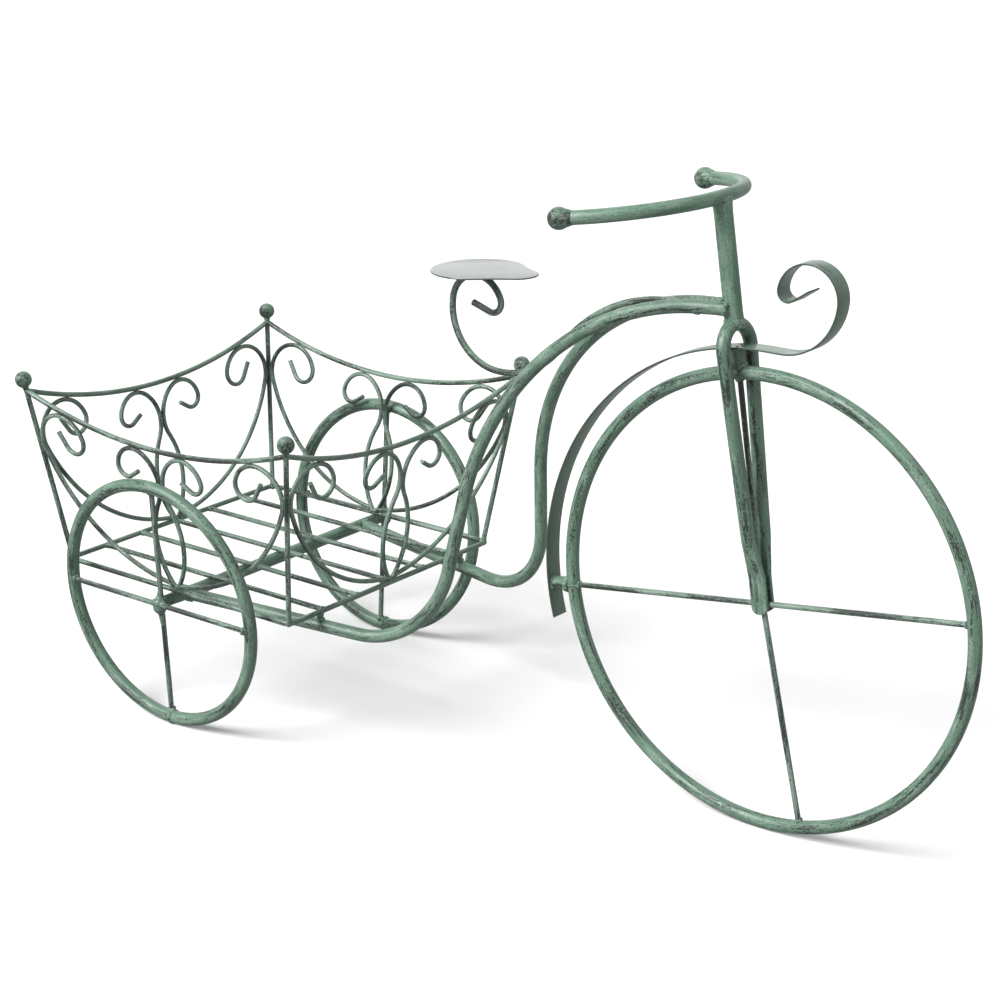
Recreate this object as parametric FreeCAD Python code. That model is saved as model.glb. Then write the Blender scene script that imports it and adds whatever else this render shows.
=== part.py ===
import FreeCAD, Part
import math
import os

# Plant stand shaped like a tricycle: a wire basket between two small wheels, one large
# front wheel under a fork, and a curled mudguard. All of it is bent tube and rod, welded.
# Built with the rear axle at x = 0, +X forward, +Y left, the ground at z = 0, in mm.
# Every piece is then shifted along X, so that the origin is under the middle of the length.

# Stock sizes
tube_d = 12.0
stem_d = 16.0
wire_d = 5.0
scroll_d = 4.5
spoke_d = 5.0
perch_d = 6.0
touch_gap = 0.04
butt_share = 0.8

# Wheels
front_rim_r = 199.0
rear_rim_r = 116.0
wheelbase = 557.0
wheel_gap = 18.5
camber_deg = 3.7
rake_deg = 8.9
spoke_level_deg = 8.1
spoke_down_deg = 13.1

# Fork, measured from the front hub along the steering axis
fork_arch_at = 219.0
fork_arch_r = 20.5
fork_round_at = 58.0
fork_round_half = 12.0
fork_flat_at = 24.0
fork_tip_below = 9.0
flat_w = 16.5
flat_t = 4.0

# Axle ends, measured inwards from each rear hub
axle_round_in = 27.0
axle_flat_in = 12.0
axle_flat_w = 12.0

# Frame tubes: top at the stem, corner of the arch, corner at the bottom, end at the axle
frame_top_z = 455.0
frame_top_y = 5.6
frame_end_back = 3.0
frame_top_run = 26.4
frame_arch_share = 0.5413
frame_arch_y = 23.0
frame_arch_z = 438.0
frame_low_share = 0.4704
frame_low_y = 82.0
frame_low_z = 113.5
frame_low_r = 86.0
frame_axle_in = 17.0

# Handlebar, and its ball ends
bar_front_z = 545.7
bar_front_half = 88.0
bar_splay_deg = 11.5
bar_drop_deg = 7.7
bar_bend_r = 103.5
bar_grip = 4.0
bar_ball_d = 19.0

# Mudguard: a flat strip round the rear of the front wheel, then a curl in front
guard_r = 221.0
guard_w = 18.5
guard_t = 1.6
guard_foot_deg = 196.0
guard_top_deg = 90.5
guard_lead = 14.6
guard_sweep_r = 52.4
guard_sweep_deg = 82.3
guard_curl_r = 28.2
guard_curl_deg = 178.2
guard_tip_r = 8.8
guard_tip_deg = 133.5
guard_tail = 17.5

# Basket, square in plan
basket_fwd = 3.0
base_side = 287.0
base_corner_r = 7.0
basket_flare = 24.5
top_z = 310.8
finial_d = 16.0
slat_count = 5
rail_drop = 11.0
rail_sag = 28.8
lug_d = 6.0

# Outer scroll of a basket side: the long arc, the curl, its tip and the straight end
outer_foot = 4.0
outer_long_r = 179.0
outer_curl_r = 28.6
outer_curl_deg = 184.0
outer_tip_r = 12.8
outer_tip_deg = 166.0
outer_tail = 16.0

# Inner scroll of a basket side: the belly, the shoulder, the curl, its tip and the end
inner_belly_r = 79.0
inner_shoulder_r = 35.5
inner_meet_deg = 146.0
inner_curl_r = 23.0
inner_curl_deg = 112.0
inner_tip_r = 10.2
inner_tip_deg = 134.0
inner_tail = 12.0

# Saddle plate, and the curled rod it stands on, from its front end behind the stem
perch_back = 40.5
perch_down = 4.3
perch_heading_deg = 174.2
perch_over_r = 150.3
perch_over_deg = 58.7
perch_dip_r = 83.8
perch_dip_deg = 55.0
perch_sweep_r = 52.4
perch_sweep_deg = 96.4
perch_loop_r = 27.8
perch_loop_deg = 151.5
perch_tip_r = 9.8
perch_tip_deg = 127.7
perch_tail = 19.3
saddle_tilt_deg = 2.0
saddle_rear_r = 42.3
saddle_nose_r = 19.0
saddle_span = 44.0
saddle_waist_r = 110.0
saddle_aft = 2.8
saddle_side = 5.8
saddle_t = 1.5

# Derived sizes
tube_r = tube_d / 2
wire_r = wire_d / 2
scroll_r = scroll_d / 2
spoke_r = spoke_d / 2
perch_r = perch_d / 2
rake = math.radians(rake_deg)
camber = math.radians(camber_deg)
half_turn = math.pi
quarter = half_turn / 2
axle_z = rear_rim_r * math.cos(camber) + tube_r
base_z = axle_z + tube_r + wire_r + touch_gap
track = base_side + 2 * wheel_gap
top_side = base_side + 2 * basket_flare
frame_arch_x = wheelbase * frame_arch_share
frame_low_x = wheelbase * frame_low_share
frame_axle_y = base_side / 2 - frame_axle_in
pieces = {}


def vec(x, y, z):
    return FreeCAD.Vector(x, y, z)


def unit(v):
    return v * (1 / v.Length)


def keep(shape, tools):
    """Cut the tools from a shape and keep its largest solid."""
    for tool in tools:
        shape = shape.cut(tool)
    return max(shape.Solids, key=lambda solid: solid.Volume)


def rod(p, q, d):
    """A straight round rod between two points."""
    return Part.makeCylinder(d / 2, (q - p).Length, p, q - p)


def arc(p, mid, q):
    return Part.Arc(p, mid, q).toShape()


def sweep(edges, d):
    """A round rod along a route of straight runs and tangent arcs."""
    first = edges[0]
    start = first.valueAt(first.FirstParameter)
    along = first.tangentAt(first.FirstParameter)
    profile = Part.Wire(Part.makeCircle(d / 2, start, along))
    return Part.Wire(edges).makePipeShell([profile], True, False)


def bend_path(start, heading, runs):
    """Trace runs from a flat start point: (length,) is straight, (radius, turn) is a bend.

    A turn is in radians, positive to the left. Each leg is its points, then its centre.
    """
    x, y = start
    legs = []
    for run in runs:
        if len(run) == 1:
            end = (x + run[0] * math.cos(heading), y + run[0] * math.sin(heading))
            legs.append(((x, y), end))
        else:
            radius, turn = run
            side = math.copysign(radius, turn)
            centre = (x - side * math.sin(heading), y + side * math.cos(heading))
            points = [(x, y)]
            for share in (1 / 2, 1):
                a = heading + turn * share
                points.append((centre[0] + side * math.sin(a), centre[1] - side * math.cos(a)))
            legs.append((points[0], points[1], points[2], centre))
            end = points[2]
            heading = heading + turn
        x, y = end
    return legs


def lift(legs, origin, u, v):
    """Put flat legs into space, as edges, on a plane given by its origin and two directions."""
    edges = []
    for leg in legs:
        points = [origin + u * p[0] + v * p[1] for p in leg[:3]]
        if len(points) == 2:
            edges.append(Part.makeLine(points[0], points[1]))
        else:
            edges.append(arc(points[0], points[1], points[2]))
    return edges


def round_corners(points, radii):
    """Edges through corner points in space, each corner rounded by a tangent arc."""
    edges = []
    at = points[0]
    for corner, after, radius in zip(points[1:-1], points[2:], radii):
        back = unit(at - corner)
        ahead = unit(after - corner)
        half = back.getAngle(ahead) / 2
        reach = radius / math.tan(half)
        middle = unit(back + ahead) * (radius / math.sin(half) - radius)
        edges.append(Part.makeLine(at, corner + back * reach))
        at = corner + ahead * reach
        edges.append(arc(corner + back * reach, corner + middle, at))
    edges.append(Part.makeLine(at, points[-1]))
    return edges


def circles_meet(c, r, d, s, side):
    """The point where two flat circles meet, to the left (+1) or right (-1) of c to d."""
    dx, dy = d[0] - c[0], d[1] - c[1]
    gap = math.hypot(dx, dy)
    along = (gap * gap + r * r - s * s) / (2 * gap)
    off = side * math.sqrt(r * r - along * along)
    return (c[0] + (along * dx - off * dy) / gap, c[1] + (along * dy + off * dx) / gap)


def ring_wire(p, thin, wide, half_thin, half_wide, round_end):
    """A closed outline of four edges: a circle, or a flat with half-round ends."""
    if round_end:
        a = thin * (half_thin * math.cos(half_turn / 4))
        b = wide * (half_wide * math.sin(half_turn / 4))
    else:
        a = thin * half_thin
        b = wide * (half_wide - half_thin)
    e = wide * half_wide
    edges = [arc(p + a + b, p + e, p - a + b)]
    if round_end:
        edges.append(arc(p - a + b, p - thin * half_thin, p - a - b))
    else:
        edges.append(Part.makeLine(p - a + b, p - a - b))
    edges.append(arc(p - a - b, p - e, p + a - b))
    if round_end:
        edges.append(arc(p + a - b, p + thin * half_thin, p + a + b))
    else:
        edges.append(Part.makeLine(p + a - b, p + a + b))
    return Part.Wire(edges)


def flat_end(p_round, p_flat, p_tip, tube_way, thin, w):
    """The end of a tube pressed flat: a taper from the round tube, then a blade to the tip."""
    wide = unit((p_tip - p_flat).cross(thin))
    circle = ring_wire(p_round, unit(wide.cross(tube_way)), wide, tube_r, tube_r, True)
    flat = ring_wire(p_flat, thin, wide, flat_t / 2, w / 2, False)
    taper = Part.makeLoft([circle, flat], True, True)
    return taper.fuse(Part.Face(flat).extrude(p_tip - p_flat))


def ribbon(legs, origin, u, v, w, t):
    """A flat strip whose middle follows flat legs, made across the plane of the legs."""
    sides = []
    for off in (t / 2, -t / 2):
        row = []
        for leg in legs:
            if len(leg) == 2:
                dx, dy = leg[1][0] - leg[0][0], leg[1][1] - leg[0][1]
                size = off / math.hypot(dx, dy)
                row.append([(p[0] - dy * size, p[1] + dx * size) for p in leg])
            else:
                c = leg[3]
                cross = (leg[1][0] - leg[0][0]) * (leg[2][1] - leg[1][1])
                cross = cross - (leg[1][1] - leg[0][1]) * (leg[2][0] - leg[1][0])
                radius = math.hypot(leg[0][0] - c[0], leg[0][1] - c[1])
                size = 1 - off * math.copysign(1, cross) / radius
                moved = [(c[0] + (p[0] - c[0]) * size, c[1] + (p[1] - c[1]) * size) for p in leg[:3]]
                row.append(moved)
        sides.append(row)
    left, right = sides
    back = [leg[::-1] for leg in right[::-1]]
    outline = left + [[left[-1][-1], right[-1][-1]]] + back + [[right[0][0], left[0][0]]]
    across = u.cross(v)
    face = Part.Face(Part.Wire(lift(outline, origin - across * (w / 2), u, v)))
    return face.extrude(across * w)


def mirrored(p):
    return (p[0], -p[1])


# Front wheel: rim, one rod across it, and two rods welded to that rod at the hub
x_dir, y_dir, z_dir = vec(1, 0, 0), vec(0, 1, 0), vec(0, 0, 1)
hub = vec(wheelbase, 0, front_rim_r + tube_r)
steer = vec(-math.sin(rake), 0, math.cos(rake))
level_tilt = math.radians(spoke_level_deg)
down_tilt = math.radians(spoke_down_deg)
level = vec(math.cos(level_tilt), 0, math.sin(level_tilt))
front_rim = Part.makeTorus(front_rim_r, tube_r, hub, y_dir)
front_level = keep(rod(hub - level * front_rim_r, hub + level * front_rim_r, spoke_d), [front_rim])
pieces["front_rim"] = front_rim
pieces["front_spoke_level"] = front_level
for name, way in (("up", steer), ("down", vec(math.sin(down_tilt), 0, -math.cos(down_tilt)))):
    spoke = rod(hub + way * (spoke_r * butt_share), hub + way * front_rim_r, spoke_d)
    pieces["front_spoke_" + name] = keep(spoke, [front_rim, front_level])

# Fork: one tube bent into a hairpin, its two ends pressed flat over the spokes
blade_half = spoke_r + flat_t / 2 + touch_gap
leg_rise = fork_arch_at - fork_round_at
leg_slant = math.hypot(leg_rise, fork_round_half)
leg_len = math.sqrt(leg_slant * leg_slant - fork_arch_r * fork_arch_r)
lean = math.asin(fork_arch_r / leg_slant) - math.atan2(fork_round_half, leg_rise)
fork_legs = bend_path((-fork_round_half, fork_round_at), quarter + lean,
                      [(leg_len,), (fork_arch_r, -half_turn - 2 * lean), (leg_len,)])
fork = sweep(lift(fork_legs, hub, y_dir, steer), tube_d)
for side in (1, -1):
    at_round = hub + y_dir * (side * fork_round_half) + steer * fork_round_at
    at_flat = hub + y_dir * (side * blade_half) + steer * fork_flat_at
    at_tip = hub + y_dir * (side * blade_half) - steer * fork_tip_below
    down = y_dir * (-side * math.sin(lean)) - steer * math.cos(lean)
    fork = fork.fuse(flat_end(at_round, at_flat, at_tip, down, y_dir, flat_w))
tip_mask = Part.makeCylinder(flat_w / 2, 2 * fork_arch_at, hub - y_dir * fork_arch_at, y_dir)
below = Part.makeBox(2 * flat_w, 2 * fork_arch_at, flat_w, vec(-flat_w, -fork_arch_at, -flat_w))
below.Placement = FreeCAD.Placement(hub, FreeCAD.Rotation(y_dir, -rake_deg))
fork = keep(fork, [below.cut(tip_mask)])
pieces["fork"] = fork

# Handlebar with its balls, and the stem between it and the fork
bar_front_x = hub.x - (bar_front_z - hub.z) * math.tan(rake)
splay = math.radians(bar_splay_deg)
drop = math.radians(bar_drop_deg)
bar_points = []
for side in (-1, 1):
    arm = vec(-math.cos(drop) * math.cos(splay), side * math.cos(drop) * math.sin(splay), -math.sin(drop))
    corner = vec(bar_front_x, side * bar_front_half, bar_front_z)
    arm_len = bar_bend_r / math.tan(arm.getAngle(y_dir * -side) / 2) + bar_grip
    bar_points += [corner + arm * arm_len, corner]
bar_points[2:] = reversed(bar_points[2:])
balls = [Part.makeSphere(bar_ball_d / 2, point) for point in (bar_points[0], bar_points[-1])]
handlebar = keep(sweep(round_corners(bar_points, [bar_bend_r, bar_bend_r]), tube_d), balls)
pieces["handlebar"] = handlebar
pieces["handlebar_ball_right"], pieces["handlebar_ball_left"] = balls
stem_foot = hub + steer * (fork_arch_at + fork_arch_r)
stem_head = vec(bar_front_x, 0, bar_front_z)
stem = keep(rod(stem_foot, stem_head, stem_d), [fork, handlebar])
pieces["stem"] = stem

# Mudguard and the two stubs that hold it off the rim
guard_foot = math.radians(guard_foot_deg)
guard_start = (guard_r * math.cos(guard_foot), guard_r * math.sin(guard_foot))
guard_legs = bend_path(guard_start, guard_foot - half_turn / 2, [
    (guard_r, math.radians(guard_top_deg) - guard_foot), (guard_lead,),
    (guard_sweep_r, math.radians(guard_sweep_deg)), (guard_curl_r, math.radians(guard_curl_deg)),
    (guard_tip_r, math.radians(guard_tip_deg)), (guard_tail,)])
mudguard = ribbon(guard_legs, hub, x_dir, z_dir, guard_w, guard_t)
pieces["mudguard"] = mudguard
for name, way in (("top", steer), ("rear", level * -1)):
    stub = rod(hub + way * front_rim_r, hub + way * guard_r, tube_d)
    pieces["mudguard_stub_" + name] = keep(stub, [front_rim, mudguard])

# Rear wheels: each a rim and two rods that cross, leaning out at the top
inner_rods = []
for name, side in (("left", 1), ("right", -1)):
    centre = vec(0, side * track / 2, axle_z)
    rim = Part.makeTorus(rear_rim_r, tube_r, centre, y_dir)
    out = centre + y_dir * (side * spoke_r)
    inside = centre - y_dir * (side * (spoke_r + touch_gap))
    across = keep(rod(out - x_dir * rear_rim_r, out + x_dir * rear_rim_r, spoke_d), [rim])
    upright = keep(rod(inside - z_dir * rear_rim_r, inside + z_dir * rear_rim_r, spoke_d), [rim])
    for shape in (rim, across, upright):
        shape.rotate(centre, x_dir, -side * camber_deg)
    inner_rods.append(upright)
    pieces["rear_rim_" + name] = rim
    pieces["rear_spoke_level_" + name] = across
    pieces["rear_spoke_upright_" + name] = upright

# Rear axle: a tube with both ends pressed flat against the upright rods
round_half = track / 2 - axle_round_in
flat_half = track / 2 - axle_flat_in
axle = rod(vec(0, -round_half, axle_z), vec(0, round_half, axle_z), tube_d)
for side in (1, -1):
    ends = [vec(0, side * reach, axle_z) for reach in (round_half, flat_half, track / 2 - spoke_r)]
    axle = axle.fuse(flat_end(ends[0], ends[1], ends[2], y_dir * side, x_dir, axle_flat_w))
axle = keep(axle, inner_rods)
pieces["rear_axle"] = axle

# Frame tubes: side by side at the stem, over the arch, then apart to the axle
stem_x = hub.x - (frame_top_z - hub.z) * math.tan(rake)
frame = {}
for name, side in (("left", 1), ("right", -1)):
    corners = [vec(stem_x - frame_end_back, side * frame_top_y, frame_top_z),
               vec(frame_arch_x, side * frame_arch_y, frame_arch_z),
               vec(frame_low_x, side * frame_low_y, frame_low_z),
               vec(0, side * frame_axle_y, axle_z)]
    top_way, low_way = corners[0] - corners[1], corners[2] - corners[1]
    frame_arch_r = (top_way.Length - frame_top_run) * math.tan(top_way.getAngle(low_way) / 2)
    edges = round_corners(corners, [frame_arch_r, frame_low_r])
    frame[name] = keep(sweep(edges, tube_d), [stem, axle])
    pieces["frame_tube_" + name] = frame[name]

# Basket floor: one bent rod all round, with slats between its front and rear runs
half = base_side / 2
run = base_side - 2 * base_corner_r
base_mid = vec(basket_fwd, 0, base_z)
base_legs = bend_path((-run / 2, -half), 0, [(run,), (base_corner_r, quarter)] * 4)
base_rod = sweep(lift(base_legs, base_mid, x_dir, y_dir), wire_d)
pieces["base_rod"] = base_rod
pitch = base_side / (slat_count + 1)
slat_half = half - wire_r * butt_share
slats = []
for number in range(slat_count):
    y = pitch * (number + 1) - half
    slat = rod(vec(basket_fwd - slat_half, y, base_z), vec(basket_fwd + slat_half, y, base_z), wire_d)
    slats.append(keep(slat, [base_rod]))
    pieces["slat_" + str(number + 1)] = slats[-1]

# Lugs between the floor's front rod and the frame tubes
for name, side in (("left", 1), ("right", -1)):
    x = basket_fwd + half
    share = x / frame_low_x
    y = side * (frame_axle_y + (frame_low_y - frame_axle_y) * share)
    z = axle_z + (frame_low_z - axle_z) * share
    lug = rod(vec(x, y, z), vec(x, y, base_z), lug_d)
    pieces["basket_lug_" + name] = keep(lug, [frame[name], base_rod] + slats)

# Corner posts with ball finials
foot_half = half - base_corner_r * (1 - math.cos(half_turn / 4))
top_half = top_side / 2
posts = []
for end, sx in (("front", 1), ("rear", -1)):
    for name, sy in ((end + "_left", 1), (end + "_right", -1)):
        foot = vec(basket_fwd + sx * foot_half, sy * foot_half, base_z)
        head = vec(basket_fwd + sx * top_half, sy * top_half, top_z)
        ball = Part.makeSphere(finial_d / 2, head)
        posts.append(keep(rod(foot, head, wire_d), [base_rod, ball]))
        pieces["post_" + name] = posts[-1]
        pieces["finial_" + name] = ball

# Shapes on a basket side, flat: s along the side from its middle, h up the slope
flare = top_half - foot_half
slope = math.hypot(top_z - base_z, flare)
rail_h = slope - rail_drop
rail_s = foot_half + flare * rail_h / slope
rail_r = (rail_s * rail_s + rail_sag * rail_sag) / (2 * rail_sag)
rail_c = (0, rail_h - rail_sag + rail_r)
rail_half = math.asin(rail_s / rail_r) - wire_r * butt_share / rail_r
rail_start = (-rail_r * math.sin(rail_half), rail_c[1] - rail_r * math.cos(rail_half))
rail_legs = bend_path(rail_start, -rail_half, [(rail_r, 2 * rail_half)])
under_rail = rail_r + wire_r + scroll_r + touch_gap

# The outer curl touches the post and the rail, and its long arc ends at the foot
off = (outer_curl_r + scroll_r + wire_r + touch_gap) * math.hypot(slope, flare) / slope
lean_s = flare / slope
start_s = foot_half - off
reach = under_rail + outer_curl_r
qa = 1 + lean_s * lean_s
qb = start_s * lean_s - rail_c[1]
qc = start_s * start_s + rail_c[1] * rail_c[1] - reach * reach
curl_h = (-qb - math.sqrt(qb * qb - qa * qc)) / qa
curl_c = (-(start_s + lean_s * curl_h), curl_h)
foot_h = wire_r + scroll_r
outer_foot_at = (-outer_foot, foot_h)
long_c = circles_meet(curl_c, outer_long_r - outer_curl_r, outer_foot_at, outer_long_r, 1)
out_a = math.atan2(outer_foot_at[1] - long_c[1], outer_foot_at[0] - long_c[0])
out_b = math.atan2(curl_c[1] - long_c[1], curl_c[0] - long_c[0])
long_turn = (out_b - out_a) % (2 * half_turn) - 2 * half_turn
outer_legs = bend_path(outer_foot_at, out_a - half_turn / 2, [
    (outer_long_r, long_turn), (outer_curl_r, -math.radians(outer_curl_deg)),
    (outer_tip_r, -math.radians(outer_tip_deg)), (outer_tail,)])

# The inner curl touches the rail and its own mirror image, and its belly ends at the foot
meet = math.radians(inner_meet_deg)
step = inner_shoulder_r - inner_curl_r
shoulder_s = -(inner_shoulder_r + scroll_r + touch_gap / 2)
inner_s = shoulder_s + step * math.sin(meet)
inner_reach = under_rail + inner_curl_r
inner_h = rail_c[1] - math.sqrt(inner_reach * inner_reach - inner_s * inner_s)
shoulder_c = (shoulder_s, inner_h + step * math.cos(meet))
inner_foot_at = (-(scroll_r + touch_gap / 2), wire_r)
belly_c = circles_meet(shoulder_c, inner_shoulder_r + inner_belly_r, inner_foot_at, inner_belly_r, 1)
in_a = math.atan2(inner_foot_at[1] - belly_c[1], inner_foot_at[0] - belly_c[0])
in_b = math.atan2(shoulder_c[1] - belly_c[1], shoulder_c[0] - belly_c[0])
belly_turn = (in_b - in_a) % (2 * half_turn) - 2 * half_turn
belly_end = in_a - half_turn / 2 + belly_turn
inner_legs = bend_path(inner_foot_at, in_a - half_turn / 2, [
    (inner_belly_r, belly_turn), (inner_shoulder_r, (meet - belly_end) % (2 * half_turn)),
    (inner_curl_r, math.radians(inner_curl_deg)), (inner_tip_r, math.radians(inner_tip_deg)),
    (inner_tail,)])

# Two inner and two outer scrolls, made on the front side of the basket
side_foot = base_mid + x_dir * foot_half
side_up = unit(x_dir * flare + z_dir * (top_z - base_z))
scrolls = {}
for number, way in (("1", y_dir), ("2", y_dir * -1)):
    inner = sweep(lift(inner_legs, side_foot, way, side_up), scroll_d)
    scrolls["inner_" + number] = keep(inner, [base_rod])
inners = list(scrolls.values())
for number, way in (("1", y_dir), ("2", y_dir * -1)):
    outer = sweep(lift(outer_legs, side_foot, way, side_up), scroll_d)
    scrolls["outer_" + number] = keep(outer, [base_rod] + inners)

# The front rail, its ends mitred at the posts, where it meets the rails beside it
far_left = base_mid + (x_dir + y_dir) * top_side
far_right = base_mid + (x_dir - y_dir) * top_side
wedge = Part.Face(Part.makePolygon([base_mid, far_right, far_left, base_mid])).extrude(z_dir * top_z)
rail = sweep(lift(rail_legs, side_foot, y_dir, side_up), wire_d)
rail = keep(rail.common(wedge), posts[:2])

# The four sides of the basket: the rail and the scrolls turned into place
for number, side in enumerate(("front", "left", "rear", "right")):
    names = {"rail_" + side: rail}
    names.update({"scroll_" + side + "_" + kind: shape for kind, shape in scrolls.items()})
    for name, shape in names.items():
        placed = shape.copy()
        placed.rotate(base_mid, z_dir, math.degrees(quarter * number))
        pieces[name] = placed

# Saddle rod, in the middle plane, its front end wedged between the two frame tubes
perch_legs = bend_path((stem_x - perch_back, frame_top_z - perch_down), math.radians(perch_heading_deg), [
    (perch_over_r, math.radians(perch_over_deg)), (perch_dip_r, -math.radians(perch_dip_deg)),
    (perch_sweep_r, -math.radians(perch_sweep_deg)), (perch_loop_r, -math.radians(perch_loop_deg)),
    (perch_tip_r, -math.radians(perch_tip_deg)), (perch_tail,)])
perch = keep(sweep(lift(perch_legs, vec(0, 0, 0), x_dir, z_dir), perch_d), list(frame.values()))
pieces["saddle_rod"] = perch

# Saddle plate, pear-shaped, lying on the loop of the rod
tilt = math.radians(saddle_tilt_deg)
seat_x = vec(math.cos(tilt), 0, math.sin(tilt))
seat_up = vec(-math.sin(tilt), 0, math.cos(tilt))
loop_c = perch_legs[3][3]
rest = vec(loop_c[0], saddle_side, loop_c[1]) + seat_up * (perch_loop_r + perch_r + touch_gap)
rear_c = (-saddle_aft, 0)
nose_c = (saddle_span - saddle_aft, 0)
waist_c = circles_meet(rear_c, saddle_rear_r + saddle_waist_r, nose_c, saddle_nose_r + saddle_waist_r, 1)
rear_share = saddle_rear_r / (saddle_rear_r + saddle_waist_r)
nose_share = saddle_nose_r / (saddle_nose_r + saddle_waist_r)
rear_p = (rear_c[0] + (waist_c[0] - rear_c[0]) * rear_share, waist_c[1] * rear_share)
nose_p = (nose_c[0] + (waist_c[0] - nose_c[0]) * nose_share, waist_c[1] * nose_share)
mean = ((rear_p[0] + nose_p[0]) / 2 - waist_c[0], (rear_p[1] + nose_p[1]) / 2 - waist_c[1])
size = saddle_waist_r / math.hypot(mean[0], mean[1])
waist_p = (waist_c[0] + mean[0] * size, waist_c[1] + mean[1] * size)
seat_legs = [(rear_p, (rear_c[0] - saddle_rear_r, 0), mirrored(rear_p)),
             (mirrored(rear_p), mirrored(waist_p), mirrored(nose_p)),
             (mirrored(nose_p), (nose_c[0] + saddle_nose_r, 0), nose_p),
             (nose_p, waist_p, rear_p)]
seat = Part.Face(Part.Wire(lift(seat_legs, rest, seat_x, y_dir)))
pieces["saddle"] = seat.extrude(seat_up * saddle_t)

# Move the origin to under the middle of the length, and write each piece
rear_end = basket_fwd - top_half - finial_d / 2
front_end = wheelbase + front_rim_r + tube_r
shift = vec(-(rear_end + front_end) / 2, 0, 0)
os.makedirs("parts", exist_ok=True)
for name, shape in pieces.items():
    shape = shape.copy()
    shape.translate(shift)
    shape.exportStep("parts/" + name + ".step")
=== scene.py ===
import math
from collections import namedtuple

import bmesh
import bpy
from bpy.props import FloatProperty, FloatVectorProperty, IntProperty, PointerProperty
from bpy.types import Operator, Panel, PropertyGroup
from mathutils import Matrix, Vector


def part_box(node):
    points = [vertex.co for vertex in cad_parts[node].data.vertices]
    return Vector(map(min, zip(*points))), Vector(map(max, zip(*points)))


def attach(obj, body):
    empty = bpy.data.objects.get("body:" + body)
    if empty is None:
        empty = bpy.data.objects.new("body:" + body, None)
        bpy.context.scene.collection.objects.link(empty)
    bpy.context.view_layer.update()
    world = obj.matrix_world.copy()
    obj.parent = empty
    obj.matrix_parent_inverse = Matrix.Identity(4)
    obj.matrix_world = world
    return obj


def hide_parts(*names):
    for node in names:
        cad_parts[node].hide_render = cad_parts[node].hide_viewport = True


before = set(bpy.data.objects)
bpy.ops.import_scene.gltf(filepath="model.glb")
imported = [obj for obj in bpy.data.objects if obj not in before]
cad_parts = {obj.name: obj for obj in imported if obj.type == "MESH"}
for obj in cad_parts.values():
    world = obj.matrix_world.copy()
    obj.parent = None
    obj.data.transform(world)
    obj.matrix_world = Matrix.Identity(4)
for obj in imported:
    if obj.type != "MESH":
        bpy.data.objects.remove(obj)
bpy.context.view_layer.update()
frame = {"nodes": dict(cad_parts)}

bl_info = {
    "name": "Tricycle plant stand",
    "version": (1, 0, 0),
    "blender": (4, 5, 0),
    "location": "View3D > Sidebar > Plant stand",
    "description": "Dresses the bent-iron plant stand: swept rods, welds, worn paint and the stage",
    "category": "Object",
}

MM = 0.001
BODY = "root"
QUARTER = math.pi / 2
FULL_TURN = 2 * math.pi
X, Y, Z = Vector((1, 0, 0)), Vector((0, 1, 0)), Vector((0, 0, 1))
SIDES = (("left", 1), ("right", -1))


# Settings

def size(name, mm, text):
    """A length that is given here in millimetres and kept in metres."""
    return FloatProperty(name=name, description=text, default=mm * MM, unit="LENGTH", precision=4)


def turn(name, degrees, text):
    """An angle that is given here in degrees and kept in radians."""
    return FloatProperty(name=name, description=text, default=math.radians(degrees), subtype="ANGLE")


def share(name, value, text):
    """A plain number from 0 to 1."""
    return FloatProperty(name=name, description=text, default=value, min=0.0, max=1.0, subtype="FACTOR")


def colour(name, rgb, text):
    """A linear colour."""
    return FloatVectorProperty(name=name, description=text, default=rgb, min=0.0, max=1.0, subtype="COLOR")


class StockSizes(PropertyGroup):
    """Diameters of the tube and rod that the stand is bent from."""

    tube_d: size("Tube", 12.0, "Rims, fork, frame, axle and handlebar")
    stem_d: size("Stem", 16.0, "The upright tube under the handlebar")
    wire_d: size("Basket rod", 5.0, "Basket floor, posts and rails")
    scroll_d: size("Scroll rod", 4.5, "The scrolls of the basket sides")
    spoke_d: size("Spoke", 5.0, "The rods of the wheels")
    perch_d: size("Saddle rod", 6.0, "The curled rod under the saddle")
    lug_d: size("Lug", 6.0, "The lugs between the basket and the frame")


class WheelSizes(PropertyGroup):
    """Places and slopes of the three wheels and of the fork."""

    front_r: size("Front rim", 199.0, "Radius of the front rim at the middle of its tube")
    rear_r: size("Rear rim", 116.0, "Radius of a rear rim at the middle of its tube")
    base: size("Wheelbase", 557.0, "From the rear axle to the front hub")
    track: size("Track", 324.0, "Between the rear hubs")
    camber: turn("Camber", 3.7, "Lean of the rear wheels, out at the top")
    rake: turn("Rake", 8.9, "Lean of the fork and stem, back at the top")
    level: turn("Level spoke", 8.1, "Slope of the rod right across the front wheel")
    down: turn("Down spoke", 13.1, "Slope of the lower half rod, off the plumb line")
    stem_at: size("Stem foot", 239.5, "From the front hub up to the top of the fork")


class BarSizes(PropertyGroup):
    """The handlebar and its ball ends."""

    front_z: size("Height", 545.7, "Height of the front run")
    front_half: size("Half width", 88.0, "From the middle to the corner")
    splay: turn("Splay", 11.5, "How much the arms part to the rear")
    drop: turn("Drop", 7.7, "How much the arms fall to the rear")
    bend_r: size("Bend", 103.5, "Radius of the two bends")
    grip: size("Grip", 4.0, "Straight run from the bend to the middle of the ball")
    ball_d: size("Ball", 19.0, "Diameter of the ball ends")


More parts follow.
